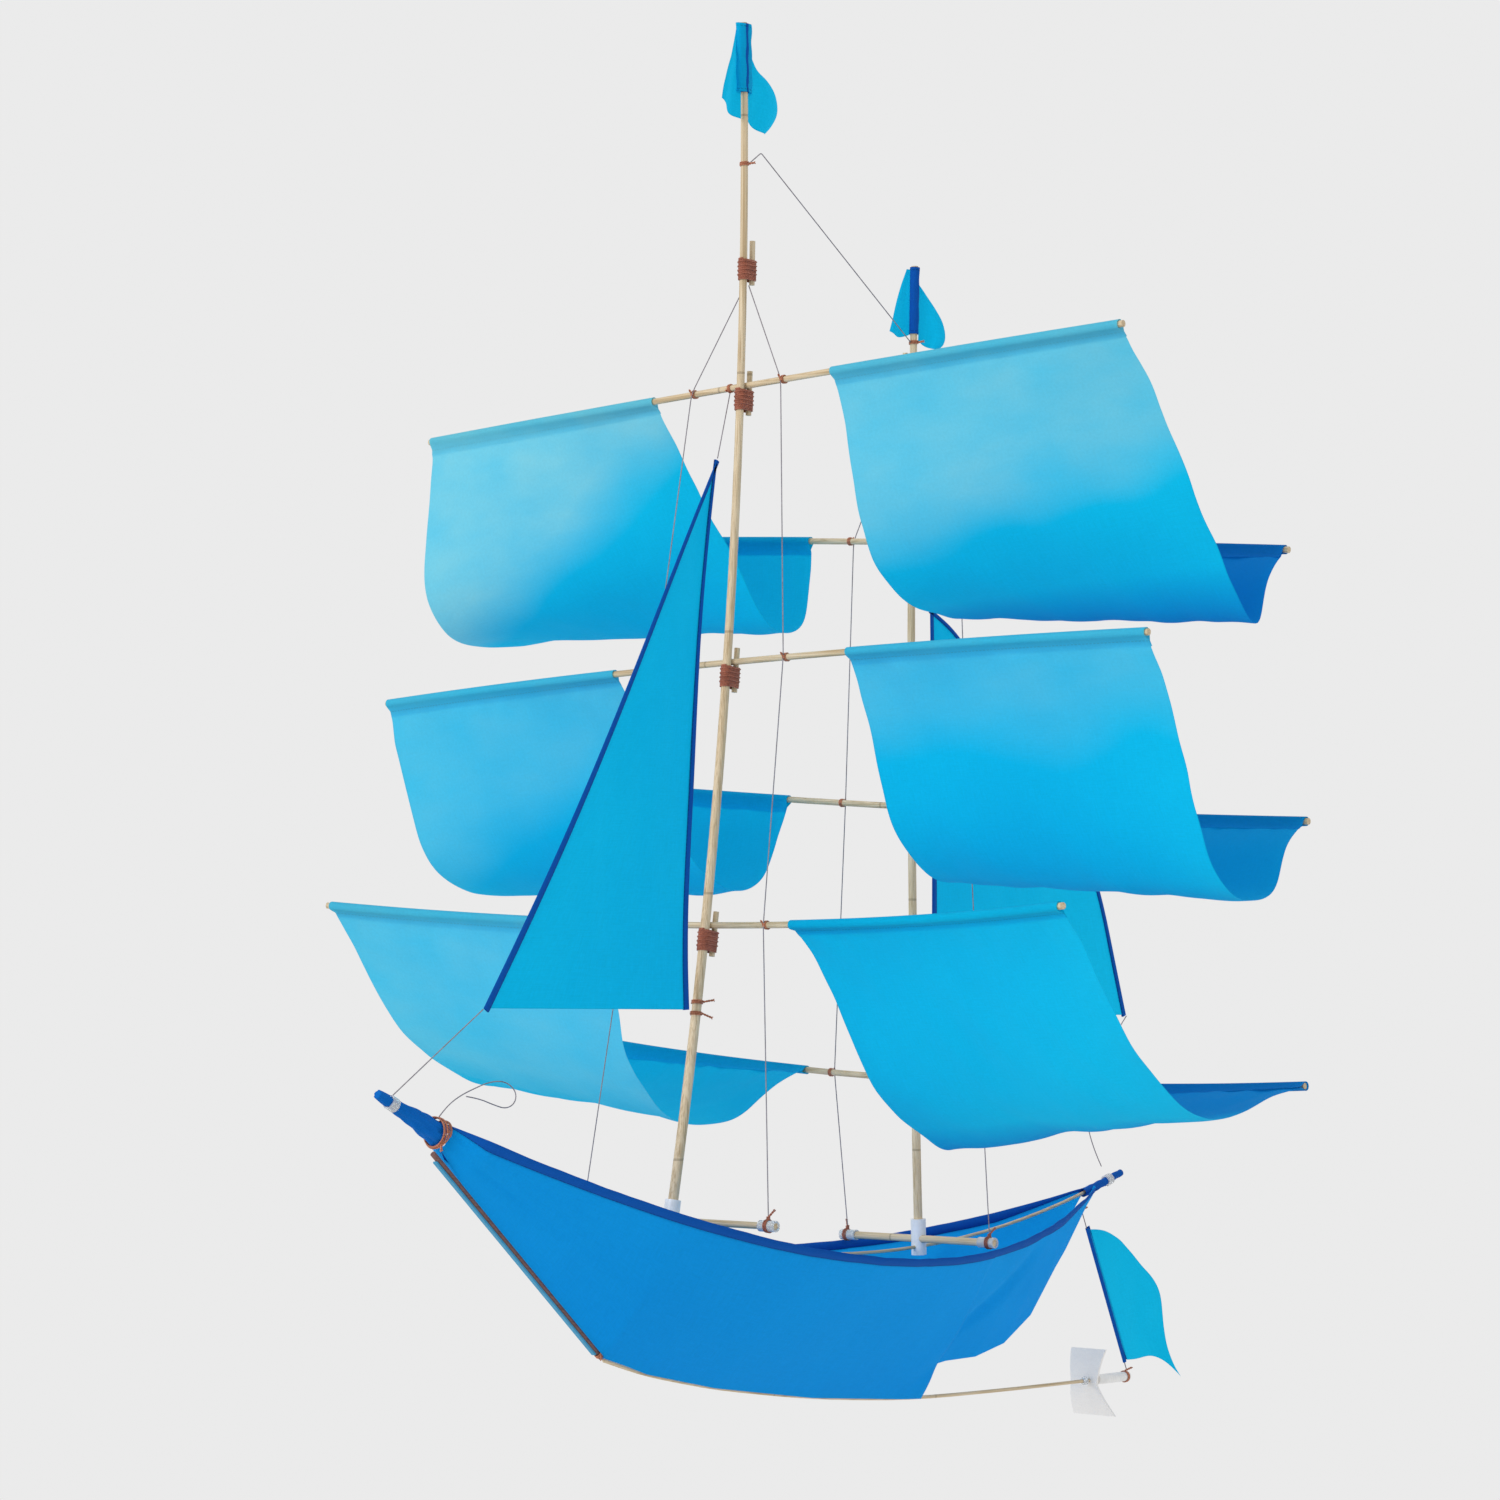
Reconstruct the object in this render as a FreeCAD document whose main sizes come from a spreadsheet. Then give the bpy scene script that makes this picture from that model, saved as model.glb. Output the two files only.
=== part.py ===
import FreeCAD, Part
import math
import os

# Ship-shaped kite: bamboo poles, cloth sails and a cloth hull, tied together with thread and line.
# Lengths are millimetres. The ship is laid out with +X towards the stern, +Y to starboard and +Z up,
# from the deck at the foremast's foot. Each sub-part's Placement then moves it so that the finished
# part has its origin where the kite hangs, at the crown of the masthead line.

DRIVING = {
    "hang_x": 98.0, "hang_z": 847.0,
    "foremast_base_d": 8.2, "foremast_top_d": 5.6, "rear_mast_base_d": 7.4, "rear_mast_top_d": 6.0,
    "foremast_foot_z": -10.0, "foremast_top_x": 75.0, "foremast_top_z": 950.0, "foremast_bow": 27.0,
    "rear_mast_foot_x": 312.0, "rear_mast_foot_z": -36.5, "rear_mast_top_x": 299.0,
    "rear_mast_top_z": 781.0, "rear_mast_bow": -7.0,
    "yard_d": 5.2,
    "fore_top_half": 378.5, "fore_mid_half": 402.0, "fore_low_half": 388.0,
    "rear_top_half": 379.0, "rear_mid_half": 402.5, "rear_low_half": 383.0,
    "fore_beam_x": 4.0, "fore_beam_z": -13.4, "fore_beam_half": 104.0, "fore_beam_d": 5.4,
    "rear_beam_x": 310.5, "rear_beam_z": -40.0, "rear_beam_half": 81.0, "rear_beam_d": 6.2,
    "deck_spar_d": 2.8, "keel_spar_d": 3.0, "stem_spar_d": 4.4,
    "cleat_d": 4.6, "cleat_length": 36.0, "lashing_height": 18.0, "lashing_wall": 1.3,
    "socket_d": 12.6, "socket_height": 30.0, "cap_length": 15.0, "cap_d": 8.8,
    "cloth": 1.0, "sleeve_d": 10.0, "line_d": 0.9, "fit": 0.1,
    "propeller_thick": 2.2, "bead_d": 7.5, "tail_tube_d": 8.6, "tail_tube_length": 46.0,
    "collar_d": 11.0, "collar_width": 7.0, "wire_d": 1.1,
}

X_AXIS = FreeCAD.Vector(1, 0, 0)
Y_AXIS = FreeCAD.Vector(0, 1, 0)
Z_AXIS = FreeCAD.Vector(0, 0, 1)
PORT = -1
STARBOARD = 1
SIDES = {"port": PORT, "starboard": STARBOARD}

doc = FreeCAD.newDocument("ship_kite")
dims = doc.addObject("Spreadsheet::Sheet", "Dims")
for row, (alias, value) in enumerate(DRIVING.items(), start=1):
    dims.set("A%d" % row, alias)
    dims.set("B%d" % row, str(value))
    dims.setAlias("B%d" % row, alias)
doc.recompute()


def size(alias):
    """One driving dimension, read back from the sheet."""
    return float(dims.get(alias))


def vec(x, y, z):
    return FreeCAD.Vector(x, y, z)


HANG = vec(size("hang_x"), 0, size("hang_z"))
CLOTH = size("cloth")
FIT = size("fit")
LINE_R = size("line_d") / 2
YARD_R = size("yard_d") / 2
CLEAT_R = size("cleat_d") / 2
CLEAT_TAIL = 2.5
WIRE_R = size("wire_d") / 2

parts = []


def place(obj, base=None, rotation=None):
    """Put a sub-part at a place in the ship's layout, carried to the hang point's frame."""
    base = base or vec(0, 0, 0)
    rotation = rotation or FreeCAD.Rotation()
    obj.Placement = FreeCAD.Placement(base - HANG, rotation)
    if obj not in parts:
        parts.append(obj)
    return obj


def feature(name, shape, base=None, rotation=None):
    """A sub-part whose shape is set with Part's own functions."""
    obj = doc.addObject("Part::Feature", name)
    obj.Label = name
    obj.Shape = shape
    return place(obj, base, rotation)


def frame_rotation(x_dir, z_dir):
    """Rotation whose local Z is z_dir and whose local X is as near x_dir as it can be."""
    z_dir = FreeCAD.Vector(z_dir).normalize()
    y_dir = z_dir.cross(x_dir).normalize()
    x_dir = y_dir.cross(z_dir).normalize()
    return FreeCAD.Rotation(x_dir, y_dir, z_dir, "ZXY")


# ---------------------------------------------------------------- bent poles

class Bend:
    """A pole bent to a circular arc: middle point, direction of its chord, way and depth of its bow."""

    def __init__(self, middle, along, toward, half, bow):
        self.middle = middle
        self.along = FreeCAD.Vector(along).normalize()
        side = toward - self.along * toward.dot(self.along)
        self.toward = side.normalize()
        self.half = half
        self.bow = bow
        self.radius = (half * half + bow * bow) / (2 * bow)
        self.half_angle = 2 * math.atan(bow / half)

    def at(self, distance):
        """Point at a distance along the chord from its middle."""
        angle = math.asin(distance / self.radius)
        drop = self.radius * (1 - math.cos(angle))
        return self.middle + self.along * distance + self.toward * drop

    def tangent(self, distance):
        angle = math.asin(distance / self.radius)
        return self.along * math.cos(angle) + self.toward * math.sin(angle)

    def rotation(self):
        """Local Z is the arc's axis and local X points at its first end."""
        centre_to_middle = self.toward * -1
        axis = centre_to_middle.cross(self.along)
        turn = FreeCAD.Rotation(axis, -math.degrees(self.half_angle))
        return frame_rotation(turn.multVec(centre_to_middle), axis)

    def centre(self):
        return self.middle + self.toward * self.radius

    def rod(self, radius, overrun=0.0):
        """Plain solid of this arc with another radius, lengthened by overrun at each end."""
        extra = overrun / self.radius
        sweep = 2 * (self.half_angle + extra)
        rod = Part.makeTorus(self.radius, radius, vec(0, 0, 0), Z_AXIS, 0, 360, math.degrees(sweep))
        rod.Placement = FreeCAD.Placement(vec(0, 0, 0), FreeCAD.Rotation(Z_AXIS, -math.degrees(extra)))
        moved = rod.copy()
        place_it = FreeCAD.Placement(self.centre(), self.rotation())
        moved.Placement = place_it.multiply(rod.Placement)
        return moved


def bent_pole(name, bend, diameter, half_expression, bow_value):
    """A pole of even thickness on an arc, as a torus segment driven by its half length and its bow."""
    pole = doc.addObject("Part::Torus", name)
    pole.Label = name
    bow = "%.9f" % bow_value
    pole.setExpression("Radius1", "(%s * %s + %s * %s) / (2 * %s)"
                       % (half_expression, half_expression, bow, bow, bow))
    pole.setExpression("Radius2", "%s / 2" % diameter)
    pole.setExpression("Angle3", "4 * atan(%s / (%s))" % (bow, half_expression))
    return place(pole, bend.centre(), bend.rotation())


def mast_bend(foot, top, bow):
    """Bend of a mast in the ship's middle plane; a positive bow bellies aft."""
    chord = top - foot
    middle = (foot + top) * 0.5
    aft = vec(chord.z, 0, -chord.x).normalize()
    ends_way = aft * (-1 if bow > 0 else 1)
    return Bend(middle + aft * bow, chord, ends_way, chord.Length / 2, abs(bow))


def tapered_mast(name, bend, base_d, top_d):
    """A mast that thins upwards: circles of both sizes joined along the arc."""
    body = doc.addObject("PartDesign::Body", name)
    body.Label = name
    planes = {plane.Role: plane for plane in body.Origin.OriginFeatures}
    path = body.newObject("Sketcher::SketchObject", name + "_path")
    path.AttachmentSupport = [(planes["XZ_Plane"], "")]
    path.MapMode = "FlatFace"
    centre = vec(-bend.radius, 0, 0)
    sweep = 2 * bend.half_angle
    arc = Part.ArcOfCircle(Part.Circle(centre, Z_AXIS, bend.radius), 0, sweep)
    path.addGeometry(arc, False)
    foot = body.newObject("Sketcher::SketchObject", name + "_foot")
    foot.AttachmentSupport = [(planes["XY_Plane"], "")]
    foot.MapMode = "FlatFace"
    foot.addGeometry(Part.Circle(vec(0, 0, 0), Z_AXIS, base_d / 2), False)
    tip = body.newObject("Sketcher::SketchObject", name + "_tip")
    tip.AttachmentSupport = [(planes["XY_Plane"], "")]
    tip.MapMode = "FlatFace"
    end = centre + vec(bend.radius * math.cos(sweep), 0, bend.radius * math.sin(sweep))
    tip.AttachmentOffset = FreeCAD.Placement(end, FreeCAD.Rotation(Y_AXIS, -math.degrees(sweep)))
    tip.addGeometry(Part.Circle(vec(0, 0, 0), Z_AXIS, top_d / 2), False)
    pipe = body.newObject("PartDesign::AdditivePipe", name + "_pipe")
    pipe.Profile = foot
    pipe.Spine = (path, ["Edge1"])
    pipe.Sections = [(tip, [""])]
    pipe.Transformation = "Multisection"
    body.Tip = pipe
    return body


FORE_BEND = mast_bend(vec(0, 0, size("foremast_foot_z")),
                      vec(size("foremast_top_x"), 0, size("foremast_top_z")), size("foremast_bow"))
REAR_BEND = mast_bend(vec(size("rear_mast_foot_x"), 0, size("rear_mast_foot_z")),
                      vec(size("rear_mast_top_x"), 0, size("rear_mast_top_z")), size("rear_mast_bow"))


def distance_at_height(bend, height):
    """Distance along a mast's chord at which its axis passes a height."""
    low, high = -bend.half, bend.half
    for _ in range(50):
        guess = (low + high) / 2
        if bend.at(guess).z < height:
            low = guess
        else:
            high = guess
    return (low + high) / 2


class Mast:
    """Where a mast runs, how thick it is at a height, and the side its pegs stand on."""

    def __init__(self, prefix, bend, base_d, top_d, peg_side):
        self.prefix = prefix
        self.bend = bend
        self.base_r = base_d / 2
        self.top_r = top_d / 2
        self.peg_side = peg_side

    def axis(self, height):
        return self.bend.at(distance_at_height(self.bend, height))

    def radius(self, height):
        share = (distance_at_height(self.bend, height) + self.bend.half) / (2 * self.bend.half)
        return self.base_r + (self.top_r - self.base_r) * share

    def up(self, height):
        return self.bend.tangent(distance_at_height(self.bend, height))

    def rotation(self, height):
        """Local Z runs up the mast and local X points at the side where the pegs stand."""
        return frame_rotation(X_AXIS * self.peg_side, self.up(height))


FORE = Mast("fore", FORE_BEND, size("foremast_base_d"), size("foremast_top_d"), 1)
REAR = Mast("rear", REAR_BEND, size("rear_mast_base_d"), size("rear_mast_top_d"), -1)


def build_masts():
    for name, mast in (("foremast", FORE), ("rear_mast", REAR)):
        body = tapered_mast(name, mast.bend, mast.base_r * 2, mast.top_r * 2)
        foot = mast.bend.at(-mast.bend.half)
        away = mast.bend.toward * -1
        place(body, foot, frame_rotation(away, mast.bend.tangent(-mast.bend.half)))


# ---------------------------------------------------------------- yards

# Each yard: mast, sheet alias of its half length, height of its middle, turn about Z and about X in
# degrees, and how far its ends stand aft and up of its middle.
YARDS = {
    "fore_yard_top": (FORE, "fore_top_half", 654.6, -1.8, -2.2, 6.7, -0.5),
    "fore_yard_mid": (FORE, "fore_mid_half", 430.2, 0.1, -1.75, 8.0, -6.4),
    "fore_yard_low": (FORE, "fore_low_half", 218.9, -0.3, 0.3, -52.0, 14.7),
    "rear_yard_top": (REAR, "rear_top_half", 545.7, 2.3, 3.8, -7.2, -3.6),
    "rear_yard_mid": (REAR, "rear_mid_half", 322.3, 0.7, 3.6, -7.6, 5.6),
    "rear_yard_low": (REAR, "rear_low_half", 93.8, 2.0, 2.1, 1.6, 16.6),
}


def yard_bend(name):
    mast, alias, height, turn_z, turn_x, aft, up = YARDS[name]
    lift = FreeCAD.Rotation(Z_AXIS, turn_z).multiply(FreeCAD.Rotation(X_AXIS, turn_x))
    stand_off = mast.radius(height) + YARD_R + FIT
    middle = mast.axis(height) + X_AXIS * (mast.peg_side * stand_off)
    return Bend(middle, lift.multVec(Y_AXIS), lift.multVec(vec(aft, 0, up)), size(alias),
                math.hypot(aft, up))


YARD_BENDS = {name: yard_bend(name) for name in YARDS}


def build_yards():
    for name, bend in YARD_BENDS.items():
        bent_pole(name, bend, "Dims.yard_d", "Dims." + YARDS[name][1], bend.bow)


# ---------------------------------------------------------------- pegs and lashings

HEAD_HEIGHTS = {"fore": 758.0, "rear": 690.0}


def peg_heights(prefix):
    """Height of the top of each lashing on one mast: under its three yards, and at its head."""
    levels = {"head": HEAD_HEIGHTS[prefix]}
    for level in ("top", "mid", "low"):
        yard = YARD_BENDS["%s_yard_%s" % (prefix, level)]
        levels[level] = yard.middle.z - YARD_R - FIT
    return levels


def peg_offset(mast, height):
    """From mast axis to peg axis: a yard's thickness lies between the two."""
    return mast.radius(height) + 2 * YARD_R + CLEAT_R + 2 * FIT


def lashing_shape(mast_r, offset, height):
    """Thread wound round mast and peg: a stadium block with a hole for each."""
    wall = size("lashing_wall")
    around_mast = Part.makeCylinder(mast_r + wall, height)
    around_peg = Part.makeCylinder(CLEAT_R + wall, height, vec(offset, 0, 0))
    half_waist = CLEAT_R * 0.8
    waist = Part.makeBox(offset, 2 * half_waist, height, vec(0, -half_waist, 0))
    block = around_mast.fuse([around_peg, waist])
    bore = Part.makeCylinder(mast_r + FIT, height)
    peg_bore = Part.makeCylinder(CLEAT_R + FIT / 2, height, vec(offset, 0, 0))
    return block.cut([bore, peg_bore])


def build_pegs():
    height = size("lashing_height")
    for mast in (FORE, REAR):
        bands = []
        for level, top in peg_heights(mast.prefix).items():
            turn = mast.rotation(top - height / 2)
            foot = mast.axis(top - height)
            offset = peg_offset(mast, top)
            shape = lashing_shape(mast.radius(top - height), offset, height)
            shape.Placement = FreeCAD.Placement(foot, turn)
            bands.append(shape)
            peg = doc.addObject("Part::Cylinder", "%s_cleat_%s" % (mast.prefix, level))
            peg.Label = peg.Name
            peg.setExpression("Radius", "Dims.cleat_d / 2")
            peg.setExpression("Height", "Dims.cleat_length")
            place(peg, foot + turn.multVec(vec(offset, 0, -CLEAT_TAIL)), turn)
        feature("%s_lashings" % mast.prefix, Part.makeCompound(bands))


# ---------------------------------------------------------------- hull frame

DECK_BEND = Bend(vec(137, 0, -44.5), vec(912, 0, -79), Z_AXIS, 457.7, 91.0)
STEM_TOP = vec(-264, 0, 46)
STEM_FOOT = vec(-79, 0, -115)
KEEL_ROUTE = [vec(-76, 0, -117.5), vec(-30, 0, -131), vec(50, 0, -147), vec(170, 0, -163), vec(300, 0, -173),
              vec(430, 0, -174.5), vec(612, 0, -174.5)]


def deck_height(x):
    """Height of the deck spar's axis above the foremast's foot."""
    low, high = -DECK_BEND.half, DECK_BEND.half
    for _ in range(40):
        guess = (low + high) / 2
        if DECK_BEND.at(guess).x < x:
            low = guess
        else:
            high = guess
    return DECK_BEND.at(low).z


def route_wire(points, bend_radius=None):
    """Straight runs joined by tangent arcs; each arc takes 0.45 of its shorter run, or a set radius."""
    edges = []
    radii = []
    start = points[0]
    for before, corner, after in zip(points, points[1:], points[2:]):
        into = (corner - before).normalize()
        out = (after - corner).normalize()
        turn = into.getAngle(out)
        shorter = min((corner - before).Length, (after - corner).Length)
        reach = 0.45 * shorter
        if bend_radius:
            reach = min(reach, bend_radius * math.tan(turn / 2))
        radius = reach / math.tan(turn / 2)
        radii.append(radius)
        first = corner - into * reach
        last = corner + out * reach
        to_centre = (out - into).normalize()
        crown = corner + to_centre * (radius / math.cos(turn / 2) - radius)
        edges.append(Part.LineSegment(start, first).toShape())
        edges.append(Part.Arc(first, crown, last).toShape())
        start = last
    edges.append(Part.LineSegment(start, points[-1]).toShape())
    return Part.Wire(edges), radii


def tube_along(name, points, radius, bend_radius=None):
    """Round solid along a route; prints its radii and compares its volume with section times length."""
    wire, radii = route_wire(points, bend_radius)
    heading = (points[1] - points[0]).normalize()
    section = Part.Wire([Part.Circle(points[0], heading, radius).toShape()])
    tube = wire.makePipeShell([section], True, False)
    expected = math.pi * radius * radius * wire.Length
    if abs(tube.Volume - expected) > 0.03 * expected:
        raise ValueError("%s: volume %.1f, expected %.1f" % (name, tube.Volume, expected))
    print("%s: length %.0f, radii %s" % (name, wire.Length, ", ".join("%.1f" % r for r in radii)))
    return tube


def straight_rod(start, end, radius):
    """Plain rod between two points."""
    return Part.makeCylinder(radius, (end - start).Length, start, end - start)


def build_beams():
    """The two deck beams across the hull, a white cap tube on each end."""
    caps = []
    for prefix in ("fore", "rear"):
        beam = doc.addObject("Part::Cylinder", prefix + "_crossbar")
        beam.Label = beam.Name
        beam.setExpression("Radius", "Dims.%s_beam_d / 2" % prefix)
        beam.setExpression("Height", "2 * Dims.%s_beam_half" % prefix)
        x, z, half = (size("%s_beam_%s" % (prefix, key)) for key in ("x", "z", "half"))
        place(beam, vec(x, -half, z), frame_rotation(X_AXIS, Y_AXIS))
        for side in SIDES.values():
            length = size("cap_length")
            start = vec(x, side * (half - length), z)
            outer = Part.makeCylinder(size("cap_d") / 2, length + 1, start, Y_AXIS * side)
            bore = Part.makeCylinder(size(prefix + "_beam_d") / 2 + FIT, length + 1, start, Y_AXIS * side)
            caps.append(outer.cut(bore))
    feature("crossbar_caps", Part.makeCompound(caps))


def build_spars():
    bent_pole("deck_spar", DECK_BEND, "Dims.deck_spar_d", "%.9f" % DECK_BEND.half, DECK_BEND.bow)
    feature("keel_spar", tube_along("keel_spar", KEEL_ROUTE, size("keel_spar_d") / 2))
    stem_r = size("stem_spar_d") / 2
    feature("stem_spar", straight_rod(STEM_TOP, STEM_FOOT, stem_r))
    run = STEM_FOOT - STEM_TOP
    outward = vec(run.z, 0, -run.x).normalize()
    strip = Part.makeBox(4.0, 1.4, run.Length - 14, vec(-2.0, -0.7, 6))
    feature("stem_strip", strip, STEM_TOP + outward * (stem_r + 1.0), frame_rotation(Y_AXIS, run))


SOCKET_BELOW_BEAM = 13.5


def socket_body(name, mast, beam_prefix):
    """White tube that holds a mast's foot, with a hole for the deck beam through it."""
    body = doc.addObject("PartDesign::Body", name)
    body.Label = name
    planes = {plane.Role: plane for plane in body.Origin.OriginFeatures}
    outline = body.newObject("Sketcher::SketchObject", name + "_ring")
    outline.AttachmentSupport = [(planes["XY_Plane"], "")]
    outline.MapMode = "FlatFace"
    outline.AttachmentOffset = FreeCAD.Placement(vec(0, 0, -SOCKET_BELOW_BEAM), FreeCAD.Rotation())
    outline.addGeometry(Part.Circle(vec(0, 0, 0), Z_AXIS, size("socket_d") / 2), False)
    outline.addGeometry(Part.Circle(vec(0, 0, 0), Z_AXIS, mast.base_r + FIT), False)
    ring = body.newObject("PartDesign::Pad", name + "_pad")
    ring.Profile = outline
    ring.setExpression("Length", "Dims.socket_height")
    doc.recompute()
    solid_volume = body.Shape.Volume
    beam_hole = body.newObject("Sketcher::SketchObject", name + "_beam_hole")
    beam_hole.AttachmentSupport = [(planes["XZ_Plane"], "")]
    beam_hole.MapMode = "FlatFace"
    beam_r = size(beam_prefix + "_beam_d") / 2 + FIT
    beam_hole.addGeometry(Part.Circle(vec(0, 0, 0), Z_AXIS, beam_r), False)
    cross = body.newObject("PartDesign::Pocket", name + "_cross")
    cross.Profile = beam_hole
    cross.Type = 1
    cross.Midplane = True
    doc.recompute()
    if body.Shape.Volume > solid_volume - 10:
        raise ValueError(name + ": the beam hole cut nothing")
    body.Tip = cross
    return body


def build_sockets():
    """White tubes at the masts' feet, on the deck beams, bored for the deck spar as well."""
    for prefix, mast in (("fore", FORE), ("rear", REAR)):
        body = socket_body(prefix + "_socket_tube", mast, prefix)
        foot_z = mast.bend.at(-mast.bend.half).z
        up = mast.up(foot_z + 1)
        beam = vec(size(prefix + "_beam_x"), 0, size(prefix + "_beam_z"))
        axis_point = mast.bend.at(-mast.bend.half)
        centre = axis_point + up * ((beam.z - axis_point.z) / up.z)
        body.Placement = FreeCAD.Placement(centre, frame_rotation(X_AXIS, up))
        doc.recompute()
        around_beam = Part.makeCylinder(size(prefix + "_beam_d") / 2 + FIT, 30, vec(beam.x, -15, beam.z), Y_AXIS)
        spar = DECK_BEND.rod(size("deck_spar_d") / 2 + 2 * FIT)
        shape = body.Shape.cut([around_beam, spar])
        feature(prefix + "_socket", shape)


# ---------------------------------------------------------------- hull cloth

WIDEST_X = 120.0


def half_beam(x):
    """Half width of the open top of the hull."""
    if x < WIDEST_X:
        share = (WIDEST_X - x) / 410.0
        return 6 + 106 * (1 - min(1.0, share) ** 1.95)
    share = (x - WIDEST_X) / 440.0
    return 4 + 108 * (1 - min(1.0, share) ** 1.6)


def gunwale_height(x):
    return deck_height(x) + 1.5 + max(0.0, (40 - x) / 300.0) * 4


HULL_BOTTOM = [(-258, 41), (-79, -115), (-30, -131), (50, -147), (170, -163), (285, -172), (312, -173.5),
               (315, -148), (345, -144), (386, -143), (426, -134), (464, -112), (500, -72), (536, -24), (556, -3)]


def bottom_height(x):
    for (x0, z0), (x1, z1) in zip(HULL_BOTTOM, HULL_BOTTOM[1:]):
        if x0 <= x <= x1:
            return z0 + (z1 - z0) * (x - x0) / (x1 - x0)
    return HULL_BOTTOM[-1][1]


def hull_stations():
    fill = list(range(-240, 556, 40))
    knots = [x for x, _ in HULL_BOTTOM]
    near = [x for x in fill if min(abs(x - k) for k in knots) > 12]
    return sorted(near + knots)


def build_hull():
    """Two thin cloth walls, each from the gunwale down to the stem, keel and cut-away stern."""
    keel_side = size("stem_spar_d") / 2 + size("wire_d") + 0.4
    for side_name, side in SIDES.items():
        wires = []
        for x in hull_stations():
            top_y, top_z = half_beam(x), gunwale_height(x)
            low_y, low_z = min(keel_side, top_y), bottom_height(x)
            corners = [vec(x, side * top_y, top_z), vec(x, side * low_y, low_z),
                       vec(x, side * (low_y + CLOTH), low_z), vec(x, side * (top_y + CLOTH), top_z)]
            wires.append(Part.makePolygon(corners + corners[:1]))
        feature("hull_skin_" + side_name, Part.makeLoft(wires, True, True))


# ---------------------------------------------------------------- sails

# A square sail is one cloth slung between a fore yard and its rear yard. Each end of the sling has its
# own profile: points (x, z) from the fore yard round the belly to the rear yard. Spans are the
# distances from the middle of the ship at which the cloth starts and stops.
SAILS = {
    "sail_top_port": ("top", PORT, 93, 375,
                      [(97, 612), (117, 540), (160, 489), (225, 474), (270, 480), (284, 515)],
                      [(128, 612), (175, 546), (222, 489), (252, 459), (266, 459), (275, 474), (274, 500)]),
    "sail_top_starboard": ("top", STARBOARD, 102, 375,
                           [(123, 604), (160, 558), (204, 505), (252, 470), (277, 482), (285, 520)],
                           [(98, 600), (93, 540), (97, 497), (118, 474), (180, 467), (255, 485), (287, 540)]),
    "sail_mid_port": ("mid", PORT, 119, 400,
                      [(96, 381), (116, 325), (134, 291), (150, 274), (181, 258), (211, 254), (277, 298)],
                      [(106, 385), (143, 304), (175, 256), (215, 239), (250, 253), (266, 285)]),
    "sail_mid_starboard": ("mid", STARBOARD, 128, 400,
                           [(105, 378), (140, 315), (185, 262), (235, 249), (268, 273), (281, 310)],
                           [(92, 358), (108, 310), (129, 273), (165, 254), (215, 250), (262, 272), (284, 320)]),
    "sail_low_port": ("low", PORT, 86, 384,
                      [(90, 171), (128, 114), (174, 68), (205, 52), (240, 41), (263, 39), (283, 62)],
                      [(20, 203), (62, 150), (112, 103), (165, 76), (220, 76), (264, 88)]),
    "sail_low_starboard": ("low", STARBOARD, 110, 384,
                           [(51, 165), (75, 100), (118, 65), (170, 57), (220, 68), (258, 88)],
                           [(22, 200), (65, 145), (125, 100), (190, 80), (250, 84), (290, 103)]),
}
SAIL_STATIONS = 7


def sling_curve(front, profile, rear, samples=22):
    """Evenly spaced points on the smooth curve from the front yard round the belly to the rear yard."""
    through = [front] + [vec(x, 0, z) for x, z in profile] + [rear]
    curve = Part.BSplineCurve()
    curve.interpolate(through)
    return curve.discretize(Number=samples)


def ring_points(centre, heading, count=12):
    """Outline of a sleeve from one side of the cloth, round the yard, to the other side."""
    radius = size("sleeve_d") / 2
    start = math.atan2(heading.z, heading.x)
    gap = math.asin(CLOTH / 2 / radius)
    points = []
    for step in range(count + 1):
        angle = start + gap + (2 * math.pi - 2 * gap) * step / count
        points.append(vec(centre.x + radius * math.cos(angle), 0, centre.z + radius * math.sin(angle)))
    return points


def sling_section(y, front, rear, profile):
    """Closed outline across a sail at one distance from the middle: two sleeves and the cloth."""
    line = sling_curve(front, profile, rear)
    sleeve_r = size("sleeve_d") / 2
    inner = [p for p in line if (p - front).Length > sleeve_r * 1.3 and (p - rear).Length > sleeve_r * 1.3]
    left, right = [], []
    for index, point in enumerate(inner):
        ahead = inner[min(index + 1, len(inner) - 1)]
        behind = inner[max(index - 1, 0)]
        way = (ahead - behind).normalize()
        normal = vec(-way.z, 0, way.x)
        left.append(point + normal * (CLOTH / 2))
        right.append(point - normal * (CLOTH / 2))
    front_ring = ring_points(front, inner[0] - front)
    rear_ring = ring_points(rear, inner[-1] - rear)
    outline = front_ring + right + rear_ring + list(reversed(left))
    return [vec(p.x, y, p.z) for p in outline]


def resample_profile(profile, front, rear, samples=8):
    """The same number of evenly spaced guide points on a profile, without its two ends."""
    points = sling_curve(front, profile, rear, samples + 2)
    return [(p.x, p.z) for p in points[1:-1]]


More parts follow.
